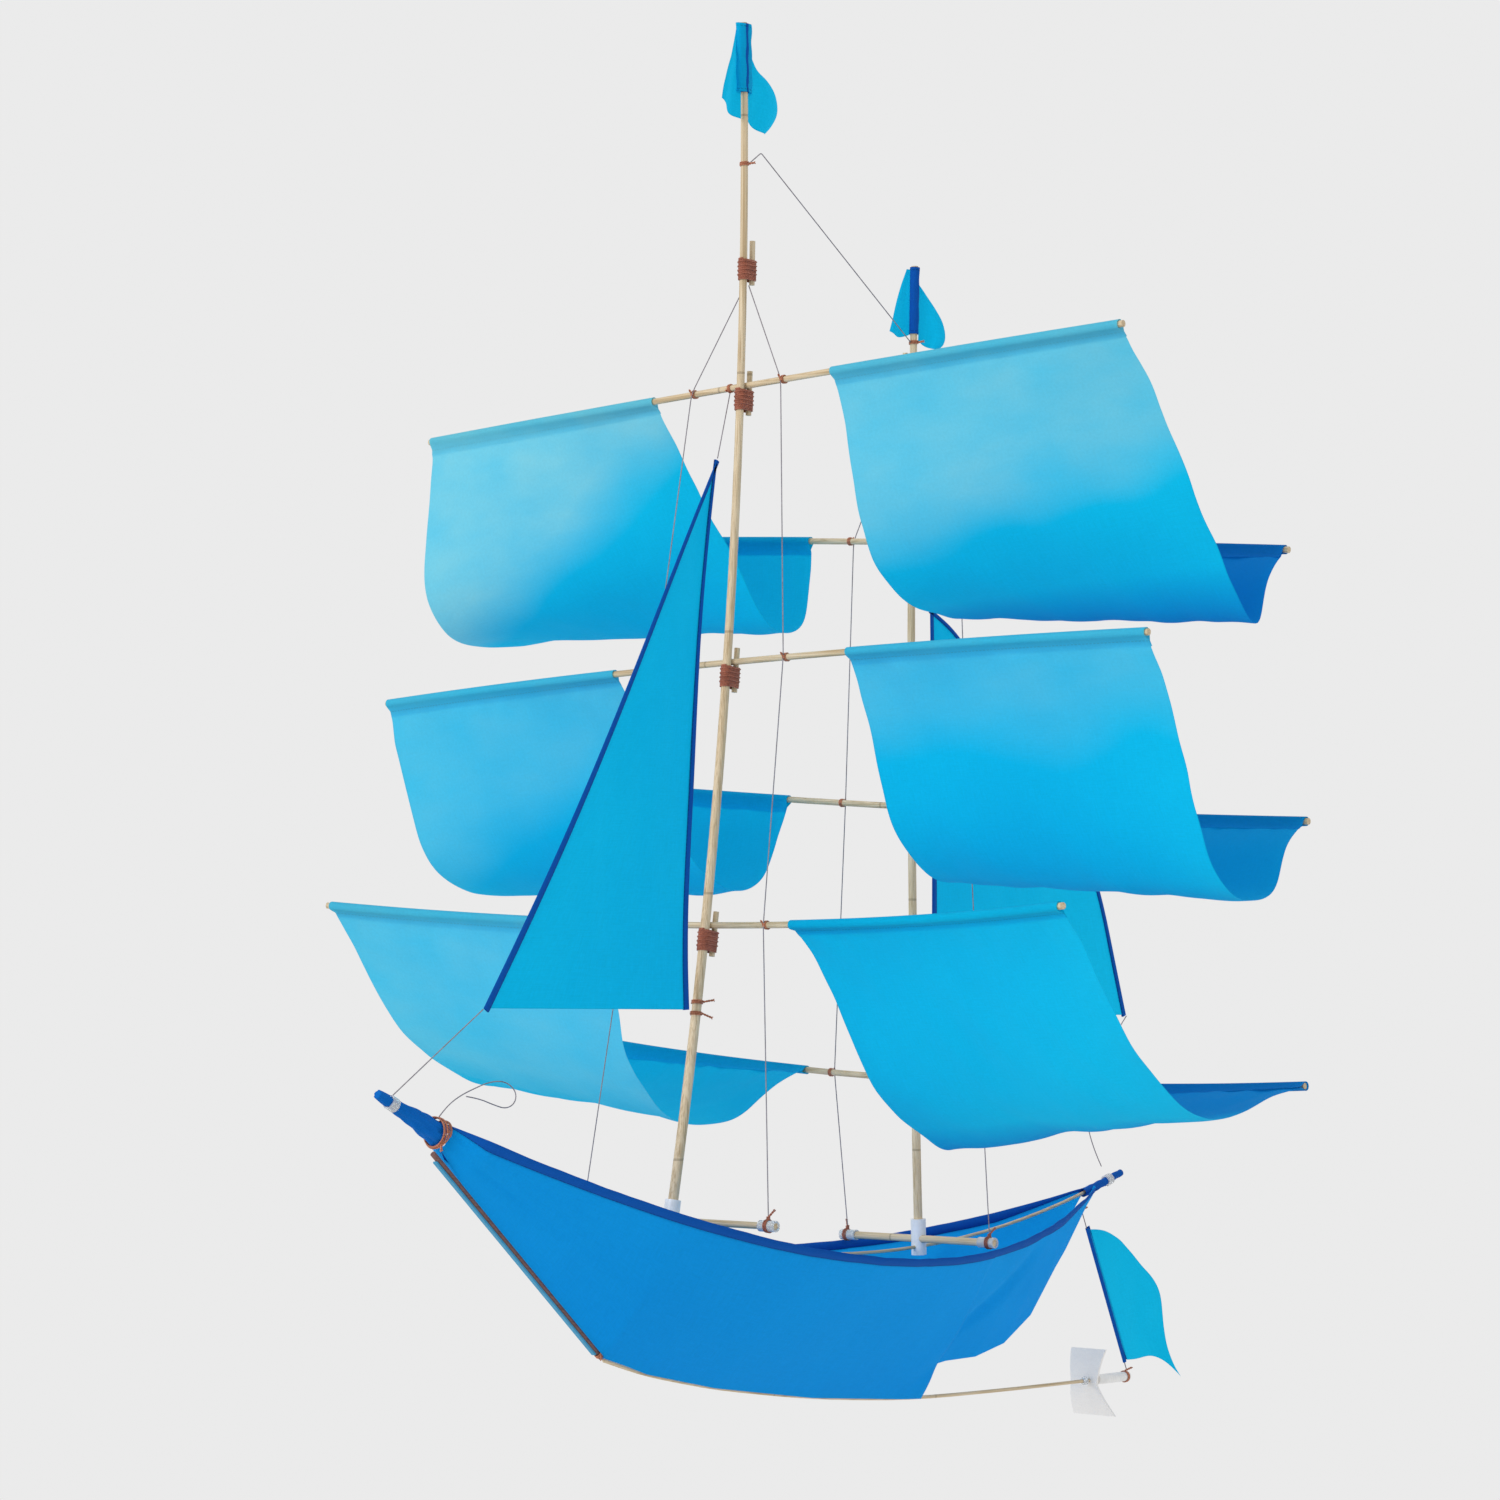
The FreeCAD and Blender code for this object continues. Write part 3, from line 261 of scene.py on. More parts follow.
def cloth_material(name, colour, glow, light_through):
    """Thin woven cotton: threads both ways, slubs, stitches along the seams and light through it."""
    cloth = Finish(name)
    maths, times = cloth.maths, cloth.times
    uv, seam = [cloth.node("ShaderNodeUVMap", uv_map=layer).outputs["UV"] for layer in ("cloth", "seam")]
    edge, painted_light, painted_shade_share = [cloth.node("ShaderNodeAttribute", attribute_name=mark).outputs["Fac"]
                              for mark in ("edge", "painted_light", "deep")]
    wave = {"Scale": math.pi / 10 / WEAVE_PITCH, "Distortion": 0.6}
    warp = cloth.textured(uv, (1, 0, 0), "ShaderNodeTexWave", wave, bands_direction="X")
    weft = cloth.textured(uv, (0, 1, 0), "ShaderNodeTexWave", wave, bands_direction="Y")
    weave = times(warp["Fac"], weft["Fac"])
    slub = times(maths("ADD", cloth.grain(uv, (60, 1500, 1), 3.0), cloth.grain(uv, (1300, 50, 1), 3.0)), 0.5)
    broad = cloth.grain(uv, (9, 9, 1), 2.0)
    fleck = cloth.grain(uv, (420, 420, 1), 2.0)
    blotch = cloth.grain(uv, (14, 26, 1), 4.0)
    pale = [min(1.0, c * 1.06 + 0.004) for c in colour]
    deep = [c * 0.92 for c in colour]
    threads = cloth.ramp(slub, [(0.34, deep), (0.52, colour), (0.70, pale)])
    grain = cloth.ramp(fleck, [(0.3, (0.95, 0.95, 0.95)), (0.7, WHITE)])
    tone = cloth.ramp(broad, [(0.3, (0.93, 0.95, 0.97)), (0.7, WHITE)])
    body = cloth.product(cloth.product(threads, grain), tone)
    split = cloth.node("ShaderNodeSeparateXYZ")
    cloth.feed(split.inputs[0], seam)
    near = maths("LESS_THAN", maths("ABSOLUTE", split.outputs[1]), STITCH_HALF_WIDTH)
    pitch = maths("FRACT", times(split.outputs[0], 1 / STITCH_PITCH))
    stitch = times(near, maths("LESS_THAN", pitch, STITCH_SHARE))
    body = cloth.mix(times(stitch, 0.8), body, [c * 0.5 for c in colour])
    rim = maths("LESS_THAN", maths("ADD", edge, times(fleck, -0.0016)), 0.0)
    body = cloth.mix(times(rim, 0.55), body, [c * 0.62 for c in colour])
    # Painted light pales the cloth and painted shade deepens it, where the cloth's marks say.
    patchy = maths("ADD", times(maths("SUBTRACT", blotch, 0.5), 0.9), 0.75)
    painted_light_share = maths("MINIMUM", maths("MAXIMUM", times(painted_light, patchy), 0.0), 1.0)
    body = cloth.mix(painted_light_share, body, cloth.product(grain, PAINTED_LIGHT))
    body = cloth.mix(painted_shade_share, body, cloth.product(grain, PAINTED_SHADE))
    cloth.settle(Base_Color=body, Roughness=0.88, Specular_IOR_Level=0.07, Sheen_Weight=0.04,
                 Sheen_Roughness=0.5, Sheen_Tint=(0.55, 0.85, 1.0))
    ridge = cloth.bump(stitch, 0.6, 0.0005)
    folds = cloth.bump(slub, 0.25, 0.0006, ridge)
    surface = cloth.bump(weave, 0.35, 0.00025, folds)
    # The light through the cloth carries the same painted light and painted shade.
    shining = cloth.mix(painted_shade_share, cloth.mix(painted_light_share, glow, PAINTED_LIGHT_GLOW), PAINTED_SHADE)
    through = cloth.node("ShaderNodeBsdfTranslucent")
    cloth.feed(through.inputs["Color"], cloth.product(shining, cloth.product(grain, tone)))
    cloth.feed(through.inputs["Normal"], surface)
    mix = cloth.node("ShaderNodeMixShader")
    for socket, value in zip(mix.inputs, (light_through, cloth.shader.outputs[0], through.outputs[0])):
        cloth.feed(socket, value)
    cloth.feed(cloth.nodes["Material Output"].inputs["Surface"], mix.outputs[0])
    return cloth.material


def bamboo_material(name, axis, pale, deep, node_gap=0.21):
    """Split bamboo: fibres along the pole, darker lines where it was cut, and a faint ring at each node."""
    cane = Finish(name)
    maths, times = cane.maths, cane.times
    place = cane.place()

    def fibres(fine, coarse, detail):
        return cane.grain(place, tuple(coarse if index == axis else fine for index in range(3)), detail)

    fibre = fibres(1400, 14, 4.0)
    streak = fibres(420, 5, 2.0)
    stain = fibres(60, 22, 3.0)
    bright = [min(1, c * 1.12) for c in pale]
    wood = cane.ramp(fibre, [(0.32, deep), (0.5, pale), (0.72, bright)])
    lines = cane.ramp(streak, [(0.36, (0.72, 0.66, 0.56)), (0.46, WHITE)])
    tint = cane.ramp(stain, [(0.35, (0.90, 0.86, 0.78)), (0.62, WHITE)])
    wood = cane.product(cane.mix(0.75, wood, cane.product(wood, lines)), tint)
    split = cane.node("ShaderNodeSeparateXYZ")
    cane.feed(split.inputs[0], place)
    share = maths("FRACT", maths("ADD", times(split.outputs[axis], 1 / node_gap), 0.37))
    ring = maths("LESS_THAN", maths("ABSOLUTE", maths("SUBTRACT", share, 0.5)), 0.0045)
    rough = cane.ramp(stain, [(0.3, (0.42,) * 3), (0.7, (0.58,) * 3)])
    cane.settle(Base_Color=cane.mix(times(ring, 0.5), wood, [c * 0.45 for c in deep]), Roughness=rough)
    cane.bump(fibre, 0.35, 0.0003, cane.bump(ring, 0.5, 0.0003))
    return cane.material


def plastic_material(name, colour, rough=0.32, clear=0.0, haze=120.0):
    """Tube plastic with faint mottling and scuffs; a clear one lets some light through."""
    tube = Finish(name)
    place = tube.place()
    mottle = tube.grain(place, (haze, haze, haze), 4.0)
    scuff = tube.grain(place, (900, 900, 160), 3.0)
    tone = tube.ramp(mottle, [(0.35, [c * 0.90 for c in colour]), (0.6, colour)])
    roughness = tube.ramp(scuff, [(0.35, (rough * 0.8,) * 3), (0.7, (rough * 1.5,) * 3)])
    tube.settle(Base_Color=tone, Roughness=roughness, Transmission_Weight=clear, IOR=1.45)
    tube.bump(scuff, 0.2, 0.0002)
    return tube.material


def foam_material(name, colour):
    """Thin foam sheet: fine cells and soft dents."""
    foam = Finish(name)
    place = foam.place()
    cells = foam.textured(place, (700, 700, 700), "ShaderNodeTexVoronoi", {"Scale": 1.0})["Distance"]
    tone = foam.ramp(cells, [(0.0, [c * 0.93 for c in colour]), (0.5, colour)])
    foam.settle(Base_Color=tone, Roughness=0.6)
    foam.bump(cells, 0.25, 0.0003, foam.bump(foam.grain(place, (60, 60, 60), 2.0), 0.3, 0.0015))
    return foam.material


def thread_material(name, colour, deep, shine, metal=0.0):
    """Twisted thread or thin wire, mottled finely along its strands."""
    thread = Finish(name)
    place = thread.place()
    ply = thread.grain(place, (1500, 1500, 2200), 2.0)
    tone = thread.ramp(ply, [(0.34, deep), (0.6, colour)])
    patch = thread.ramp(thread.grain(place, (130, 130, 130), 3.0), [(0.35, (0.78, 0.76, 0.74)), (0.6, WHITE)])
    thread.settle(Base_Color=thread.product(tone, patch), Roughness=shine, Metallic=metal)
    thread.bump(ply, 0.4, 0.0003)
    return thread.material


SAIL_BLUE = (0.002, 0.54, 0.90)
JIB_BLUE = (0.002, 0.52, 0.90)
HULL_BLUE = (0.002, 0.34, 0.84)
# The hem cloth's dark blue is partly painted shade, for the light a folded double layer keeps back.
HEM_SHADED_BLUE = (0.004, 0.10, 0.46)
SAIL = cloth_material("sail_cotton", SAIL_BLUE, (0.006, 0.72, 0.98), 0.32)
JIB_CLOTH = cloth_material("jib_cotton", JIB_BLUE, (0.006, 0.68, 0.98), 0.32)
HULL = cloth_material("hull_cotton", HULL_BLUE, (0.010, 0.42, 0.92), 0.32)
BOW_CLOTH = cloth_material("bow_cotton", (0.003, 0.16, 0.60), (0.006, 0.20, 0.70), 0.15)
HEM = cloth_material("folded_hem_cotton", HEM_SHADED_BLUE, (0.004, 0.12, 0.55), 0.10)
BAMBOO_PALE = (0.66, 0.54, 0.37)
BAMBOO_DEEP = (0.46, 0.34, 0.19)
BAMBOO = [bamboo_material("bamboo_" + "xyz"[axis], axis, BAMBOO_PALE, BAMBOO_DEEP) for axis in range(3)]
STEM_WOOD = bamboo_material("stem_bamboo", 0, (0.20, 0.10, 0.09), (0.12, 0.05, 0.045))
TAPE = plastic_material("pale_blue_strip", (0.03, 0.30, 0.52), 0.4)
WHITE_TUBE = plastic_material("white_tube", (0.84, 0.84, 0.83), 0.30)
CLEAR_TUBE = plastic_material("clear_tube", (0.90, 0.93, 0.95), 0.16, clear=0.55)
FOAM = foam_material("white_foam", (0.86, 0.84, 0.82))
THREAD = thread_material("rust_thread", (0.46, 0.15, 0.085), (0.22, 0.06, 0.035), 0.55)
COPPER = thread_material("copper_wire", (0.62, 0.24, 0.13), (0.38, 0.12, 0.06), 0.38, metal=0.25)
LINE = thread_material("grey_line", (0.33, 0.30, 0.33), (0.16, 0.14, 0.17), 0.6)


# ---------------------------------------------------------------- mesh helpers

def spline_through(points, count):
    """Evenly spaced points on the smooth curve through some points (a natural cubic in chord length)."""
    through = np.array([tuple(p) for p in points], float)
    steps = np.linalg.norm(np.diff(through, axis=0), axis=1)
    knots = np.concatenate([[0.0], np.cumsum(steps)])
    size = len(through)
    matrix = np.zeros((size, size))
    right = np.zeros((size, 3))
    matrix[0, 0] = matrix[-1, -1] = 1.0
    for i in range(1, size - 1):
        matrix[i, i - 1:i + 2] = steps[i - 1], 2 * (steps[i - 1] + steps[i]), steps[i]
        slopes = (through[i + 1] - through[i]) / steps[i] - (through[i] - through[i - 1]) / steps[i - 1]
        right[i] = 6 * slopes
    curve = np.linalg.solve(matrix, right)

    def value(t):
        i = int(min(size - 2, max(0, np.searchsorted(knots, t) - 1)))
        h, a, b = steps[i], knots[i + 1] - t, t - knots[i]
        return ((curve[i] * a ** 3 + curve[i + 1] * b ** 3) / (6 * h)
                + (through[i] / h - curve[i] * h / 6) * a + (through[i + 1] / h - curve[i + 1] * h / 6) * b)

    dense = np.array([value(t) for t in np.linspace(0, knots[-1], 240)])
    reach = np.concatenate([[0.0], np.cumsum(np.linalg.norm(np.diff(dense, axis=0), axis=1))])
    even = np.linspace(0, reach[-1], count)
    return [Vector([np.interp(s, reach, dense[:, k]) for k in range(3)]) for s in even]


def piece(name, data, material, body):
    obj = bpy.data.objects.new(name, data)
    bpy.context.collection.objects.link(obj)
    data.materials.append(material)
    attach(obj, body)
    return obj


CLOSED = (False, False, False, False)
FAR_FROM_EDGE = 0.05


def cloth_grid(name, rows, material, body="airframe", seams=(), edges=CLOSED):
    """A cloth from a grid of ship points, rows[along][across]. UVs are metres of cloth; the seam UV holds
    metres along and away from the nearest stitched row; edge holds metres from the nearest raw edge."""
    tall, wide = len(rows), len(rows[0])
    points = np.array([[tuple(part(p)) for p in row] for row in rows], float)
    along, across = [np.concatenate([[0.0], np.cumsum(np.linalg.norm(np.diff(points, axis=axis), axis=2)
                                                      .mean(axis=1 - axis))]) for axis in (0, 1)]
    mesh = bpy.data.meshes.new(name)
    faces = [(r * wide + c, r * wide + c + 1, (r + 1) * wide + c + 1, (r + 1) * wide + c)
             for r in range(tall - 1) for c in range(wide - 1)]
    mesh.from_pydata([tuple(p) for p in points.reshape(-1, 3)], [], faces)
    cloth_uv = mesh.uv_layers.new(name="cloth")
    seam_uv = mesh.uv_layers.new(name="seam")
    edge = mesh.attributes.new("edge", "FLOAT", "POINT")
    edge_values = []
    for r in range(tall):
        for c in range(wide):
            gaps = (along[r], along[-1] - along[r], across[c], across[-1] - across[c])
            open_gaps = [gap for gap, is_open in zip(gaps, edges) if is_open]
            edge_values.append(min(open_gaps + [FAR_FROM_EDGE]))
    edge.data.foreach_set("value", edge_values)
    rows_of_stitches = [along[r] for r in seams]
    for loop in mesh.loops:
        r, c = divmod(loop.vertex_index, wide)
        cloth_uv.data[loop.index].uv = (across[c], along[r])
        away = min([along[r] - s for s in rows_of_stitches] + [FAR_FROM_EDGE], key=abs)
        seam_uv.data[loop.index].uv = (across[c], away)
    mesh.polygons.foreach_set("use_smooth", [True] * len(mesh.polygons))
    mesh.update()
    obj = piece(name, mesh, material, body)
    obj["cloth_size"] = [float(across[-1]), float(along[-1])]
    return obj


def tubes(name, runs, radius, material, body, sides=8):
    """One mesh of round threads or wires, each following its points (ship millimetres)."""
    vertices, faces = [], []
    for points in runs:
        points = [part(p) for p in points]
        way = (points[1] - points[0]).normalized()
        side = way.orthogonal().normalized()
        first = len(vertices)
        for index, point in enumerate(points):
            ahead = points[min(index + 1, len(points) - 1)]
            behind = points[max(index - 1, 0)]
            way = (ahead - behind).normalized()
            side = (side - way * side.dot(way)).normalized()
            other = way.cross(side)
            for step in range(sides):
                angle = 2 * math.pi * step / sides
                vertices.append(point + (side * math.cos(angle) + other * math.sin(angle)) * radius * MM)
        for index in range(len(points) - 1):
            for step in range(sides):
                a = first + index * sides + step
                b = first + index * sides + (step + 1) % sides
                faces.append((a, b, b + sides, a + sides))
        faces.append(tuple(range(first + sides - 1, first - 1, -1)))
        last = first + (len(points) - 1) * sides
        faces.append(tuple(range(last, last + sides)))
    mesh = bpy.data.meshes.new(name)
    mesh.from_pydata([tuple(v) for v in vertices], [], faces)
    mesh.polygons.foreach_set("use_smooth", [True] * len(mesh.polygons))
    mesh.update()
    return piece(name, mesh, material, body)


def wander(x, y, z):
    """Smooth repeatable wandering between about -1 and 1."""
    return noise.noise(Vector((x, y, z)))


def waver(value, seed, rate):
    return wander(value * rate, seed * 7.31, 0.5)


# ---------------------------------------------------------------- square sails

# Each sail: level, side, distance of its inner and outer end from the middle, and the slung profile (x, z) of
# each end. The profiles were carried from the photo's outline to the sail's plane by a scratch program with
# the fitted camera, then rounded, and some were moved by hand.
SAILS = {
    "sail_top_port": ("top", PORT, 93, 375,
                      [(97, 612), (117, 540), (160, 489), (225, 474), (270, 480), (284, 515)],
                      [(128, 612), (175, 546), (222, 489), (252, 459), (266, 459), (275, 474), (274, 500)]),
    "sail_top_starboard": ("top", STARBOARD, 102, 375,
                           [(123, 604), (160, 558), (204, 505), (252, 470), (277, 482), (285, 520)],
                           [(98, 600), (93, 540), (97, 497), (118, 474), (180, 467), (255, 485), (287, 540)]),
    "sail_mid_port": ("mid", PORT, 119, 400,
                      [(96, 381), (116, 325), (134, 291), (150, 274), (181, 258), (211, 254), (277, 298)],
                      [(106, 385), (143, 304), (175, 256), (215, 239), (250, 253), (266, 285)]),
    "sail_mid_starboard": ("mid", STARBOARD, 128, 400,
                           [(105, 378), (140, 315), (185, 262), (235, 249), (268, 273), (281, 310)],
                           [(92, 358), (108, 310), (129, 273), (165, 254), (215, 250), (262, 272), (284, 320)]),
    "sail_low_port": ("low", PORT, 86, 384,
                      [(90, 171), (128, 114), (174, 68), (205, 52), (240, 41), (263, 39), (283, 62)],
                      [(20, 203), (62, 150), (112, 103), (165, 76), (220, 76), (264, 88)]),
    "sail_low_starboard": ("low", STARBOARD, 110, 384,
                           [(51, 165), (75, 100), (118, 65), (170, 57), (220, 68), (258, 88)],
                           [(22, 200), (65, 145), (125, 100), (190, 80), (250, 84), (290, 103)]),
}
# How far down the front wall the painted light (a paler area) reaches at the sail's inner and outer ends, how
# pale it is, and how much painted shade deepens the rear wall's colour. In the photo these are largely light.
PAINTED_LIGHT_AND_SHADE = {
    "sail_top_port": (148, 118, 0.75, 0.85), "sail_top_starboard": (40, 190, 1.0, 0.15),
    "sail_mid_port": (80, 72, 0.40, 0.55), "sail_mid_starboard": (72, 170, 0.42, 0.15),
    "sail_low_port": (0, 0, 0.0, 0.75), "sail_low_starboard": (190, 190, 0.52, 0.15),
}
SLEEVE_R = 3.7
STITCH_AT = 7.2
HEM_TAIL = 5.0
SAIL_ACROSS = 90
SAIL_ALONG = 120


def flat_point(point):
    return Vector((point.x, 0, point.z))


def sleeve_points(centre, heading, sense, steps=12):
    """The cloth's run round a yard: from its turned-in end, round the pole, back to the stitches."""
    out = heading.normalized()
    side = Vector((-out.z, 0, out.x)) * sense
    points = [centre + out * (STITCH_AT + HEM_TAIL) - side * 0.7, centre + out * STITCH_AT - side * 0.45]
    for step in range(steps + 1):
        angle = math.radians(215 - 250 * step / steps)
        points.append(centre - out * (SLEEVE_R * math.sin(angle)) + side * (SLEEVE_R * math.cos(angle)))
    points.append(centre + out * STITCH_AT)
    return points


def sail_guides(level, side, y, profile):
    """Guide points of one end of a sling, from the front yard's axis to the rear yard's."""
    front = flat_point(YARD_BENDS["fore_" + level].at(side * y))
    rear = flat_point(YARD_BENDS["rear_" + level].at(side * y))
    through = [front] + [Vector((x, 0, z)) for x, z in profile] + [rear]
    return front, spline_through(through, 10)[1:-1]


def sail_rows(name):
    level, side, inner_y, outer_y, inner_profile, outer_profile = SAILS[name]
    seed = list(SAILS).index(name) + 1
    inner_front, inner_guides = sail_guides(level, side, inner_y, inner_profile)
    outer_front, outer_guides = sail_guides(level, side, outer_y, outer_profile)
    columns = []
    for step in range(SAIL_ACROSS + 1):
        share = step / SAIL_ACROSS
        y = side * (inner_y + (outer_y - inner_y) * share)
        front = flat_point(YARD_BENDS["fore_" + level].at(y))
        rear = flat_point(YARD_BENDS["rear_" + level].at(y))
        shift = front - (inner_front * (1 - share) + outer_front * share)
        guides = []
        for index, (a, b) in enumerate(zip(inner_guides, outer_guides)):
            fade = max(0.0, 1 - index / 4.0)
            guides.append(a * (1 - share) + b * share + shift * fade)
        line = spline_through([front] + guides + [rear], SAIL_ALONG)
        line = [p for p in line if min((p - front).length, (p - rear).length) > STITCH_AT + 2.0]
        front_loop = sleeve_points(front, line[0] - front, -1)
        rear_loop = list(reversed(sleeve_points(rear, line[-1] - rear, 1)))
        columns.append((y, share, front_loop, line, rear_loop))
    shortest = min(len(line) for _, _, _, line, _ in columns)
    rows = []
    span = abs(outer_y - inner_y)
    grid = []
    for y, share, front_loop, line, rear_loop in columns:
        line = spline_through([front_loop[-1]] + line[::6] + [line[-1], rear_loop[0]], shortest + 2)[1:-1]
        length = sum((b - a).length for a, b in zip(line, line[1:]))
        bent = []
        for index, point in enumerate(line):
            ahead, behind = line[min(index + 1, len(line) - 1)], line[max(index - 1, 0)]
            way = (ahead - behind).normalized()
            normal = Vector((-way.z, 0, way.x))
            s = index / (len(line) - 1)
            from_front, from_rear = s * length, (1 - s) * length
            hold = min(1.0, from_front / 25) * min(1.0, from_rear / 25)
            pucker = 2.3 * math.exp(-from_front / 30) * waver(y, seed, 1 / 15)
            pucker += 2.0 * math.exp(-from_rear / 28) * waver(y, seed + 3, 1 / 15)
            long_fold = wander(y / 62, s * 2.2, seed * 3.7) * 3.4 * hold
            slant = wander(y / 28 + s * 5, (s * length - y * 0.4) / 95, seed * 5.1) * 1.5 * hold
            lip = min(share, 1 - share) * span
            curl = 2.2 * math.exp(-lip / 9) * wander(s * 9, seed * 2.3, share * 3) * hold
            bent.append(point + normal * (pucker * min(1, from_front / 6) + long_fold + slant + curl))
        grid.append((y, share, front_loop + bent + rear_loop, len(front_loop)))
    count = len(grid[0][2])
    for index in range(count):
        row = []
        for y, share, line, loop in grid:
            s = index / (count - 1)
            pull = 1.7 * wander(s * 11, seed * 1.9, 4.0 + round(share))
            edge = abs(share - 0.5) * 2
            free = 1.0 if loop < index < count - loop else 0.25
            row.append(Vector((line[index].x, y + side * pull * edge ** 6 * free, line[index].z)))
        rows.append(row)
    return rows, grid[0][3]


def fade(obj, rows, light_and_shade, seed):
    """Marks painted light (a paler area) on the front wall and painted shade (a deeper area) on the rear wall.
    """
    inner, outer, painted_light, deep = light_and_shade
    wide = len(rows[0])
    steps = [sum((a - b).length for a, b in zip(row, before)) / wide for before, row in zip(rows, rows[1:])]
    total = sum(steps)
    painted_light_values, painted_shade_values = [], []
    down = 0.0
    for index in range(len(rows)):
        down += steps[index - 1] if index else 0.0
        for column in range(wide):
            share = column / (wide - 1)
            limit = inner + (outer - inner) * share + 22 * wander(share * 4, down / 60, seed * 2.7)
            painted_light_values.append(painted_light * max(0.0, min(1.0, 0.5 + (limit + 20 - down) / 55)))
            painted_shade_values.append(deep * max(0.0, min(1.0, (165 - (total - down)) / 70)))
    for label, values in (("painted_light", painted_light_values), ("deep", painted_shade_values)):
        mark = obj.data.attributes.new(label, "FLOAT", "POINT")
        mark.data.foreach_set("value", values)


def build_sails():
    for name in SAILS:
        rows, loop = sail_rows(name)
        obj = cloth_grid(name + "_cloth", rows, SAIL, seams=(loop - 1, len(rows) - loop),
                         edges=(False, False, True, True))
        # Paints light onto the sail's front wall and shade onto its rear wall.
        fade(obj, rows, PAINTED_LIGHT_AND_SHADE[name], list(SAILS).index(name))
        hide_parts(name)


# ---------------------------------------------------------------- hull

WIDEST_X = 120.0
HULL_BOTTOM = [(-258, 41), (-79, -115), (-30, -131), (50, -147), (170, -163), (285, -172), (312, -173.5),
               (315, -148), (345, -144), (386, -143), (426, -134), (464, -112), (500, -72), (536, -24),
               (556, -3)]
KEEL_SIDE = 3.7


def deck_height(x):
    return DECK.at(DECK.where(0, x)).z


def half_beam(x):
    if x < WIDEST_X:
        return 6 + 106 * (1 - min(1.0, (WIDEST_X - x) / 410.0) ** 1.95)
    return 4 + 108 * (1 - min(1.0, (x - WIDEST_X) / 440.0) ** 1.6)


def gunwale_height(x):
    return deck_height(x) + 1.5 + max(0.0, (40 - x) / 300.0) * 4


def bottom_height(x):
    for (x0, z0), (x1, z1) in zip(HULL_BOTTOM, HULL_BOTTOM[1:]):
        if x0 <= x <= x1:
            return z0 + (z1 - z0) * (x - x0) / (x1 - x0)
    return HULL_BOTTOM[-1][1]


HULL_STATIONS = sorted(set([x for x, _ in HULL_BOTTOM] + [313.5, 312.6, 314.4] + list(range(-257, 556, 5))))
BOW_EDGE = -238
BOW_TIP = -257
BOW_TIP_R = 9.6
HULL_ROWS = 36
HEM_DEPTH = 8.0
# Across the gunwale's folded hem: how far down the wall and how far out of it each line of points lies.
HEM_SECTION = ((HEM_DEPTH, 0.5), (HEM_DEPTH, 1.1), (0.8, 1.3), (-0.7, 0.4), (-0.6, -0.5), (1.0, -1.0),
               (HEM_DEPTH, -0.9), (HEM_DEPTH, -0.3))
LEAST_HULL_DEPTH = 175 * MM


def hull_point(x, side, down, seed):
    """A point of the hull's wall, down from the gunwale (0) to the keel (1)."""
    if x < BOW_EDGE:
        share = (BOW_EDGE - x) / (BOW_EDGE - BOW_TIP)
        angle = math.radians(80 - 165 * down)
        tip = DECK.at(DECK.where(0, BOW_TIP)) + Vector((0, side * math.cos(angle), math.sin(angle))) * BOW_TIP_R
        gather = Vector((0, side * 0.8 * math.sin(down * 17) * share, 0))
        return hull_point(BOW_EDGE, side, down, seed).lerp(tip, share ** 0.85) + gather
    top_y, top_z = half_beam(x), gunwale_height(x)
    low_y, low_z = min(KEEL_SIDE, top_y), bottom_height(x)
    top = Vector((x, side * top_y, top_z))
    low = Vector((x, side * low_y, low_z))
    point = top.lerp(low, down)
    drop = (low - top)
    normal = Vector((0, -drop.z, drop.y)).normalized() * (side if drop.z < 0 else -side)
    normal = Vector((0, abs(normal.y) * side, -abs(normal.z)))
    free = math.sin(math.pi * min(1.0, down * 1.02))
    belly = 3.0 * free
    soft = 2.2 * wander(x / 85, down * 2.2, seed * 4.7) * free
    aft_fold = 4.5 * math.exp(-((x - 430 + 150 * down) / 16) ** 2) * math.sin(math.pi * min(1, down * 1.05))
    fore_part = max(0.0, min(1.0, (60 - x) / 200))
    bow_drag = 1.2 * wander(down * 9, x / 160, seed + 9.0) * fore_part * free
    pucker = 0.9 * math.exp(-down * 14) * waver(x, seed, 1 / 15)
    return point + normal * (belly + soft - aft_fold + bow_drag + pucker)


def build_hull():
    for side_name, side in (("port", PORT), ("starboard", STARBOARD)):
        seed = 2 + side
        rows = [[hull_point(x, side, row / HULL_ROWS, seed) for x in HULL_STATIONS]
                for row in range(HULL_ROWS + 1)]
        hem_rows = []
        skin = cloth_grid("hull_cloth_" + side_name, rows, HULL)
        for down_mm, out in HEM_SECTION:
            line = []
            for x in HULL_STATIONS:
                drop = (Vector((x, side * half_beam(x), gunwale_height(x)))
                        - Vector((x, side * min(KEEL_SIDE, half_beam(x)), bottom_height(x)))).length
                fade = max(0.12, min(1.0, (556 - x) / 90, (x + 275) / 40))
                share = max(0.0, down_mm) * fade / max(drop, 1.0)
                point = hull_point(x, side, share, seed)
                point += Vector((0, side * out, 0.25 * max(0.0, -down_mm)))
                line.append(point)
            hem_rows.append(line)
        hem = cloth_grid("gunwale_hem_" + side_name, hem_rows, HEM, seams=(1, 6))
        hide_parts("hull_skin_" + side_name)
        length, depth = skin["cloth_size"]
        depth = max(depth, LEAST_HULL_DEPTH)


# ---------------------------------------------------------------- flat cloths: jib, spanker, flags

def fill_between(left, right, wide):
    """Rows of points between two edges given as lists of ship points."""
    return [[a.lerp(b, c / wide) for c in range(wide + 1)] for a, b in zip(left, right)]


def edge_curve(points, count):
    return spline_through([Vector((x, 0, z)) for x, z in points], count)


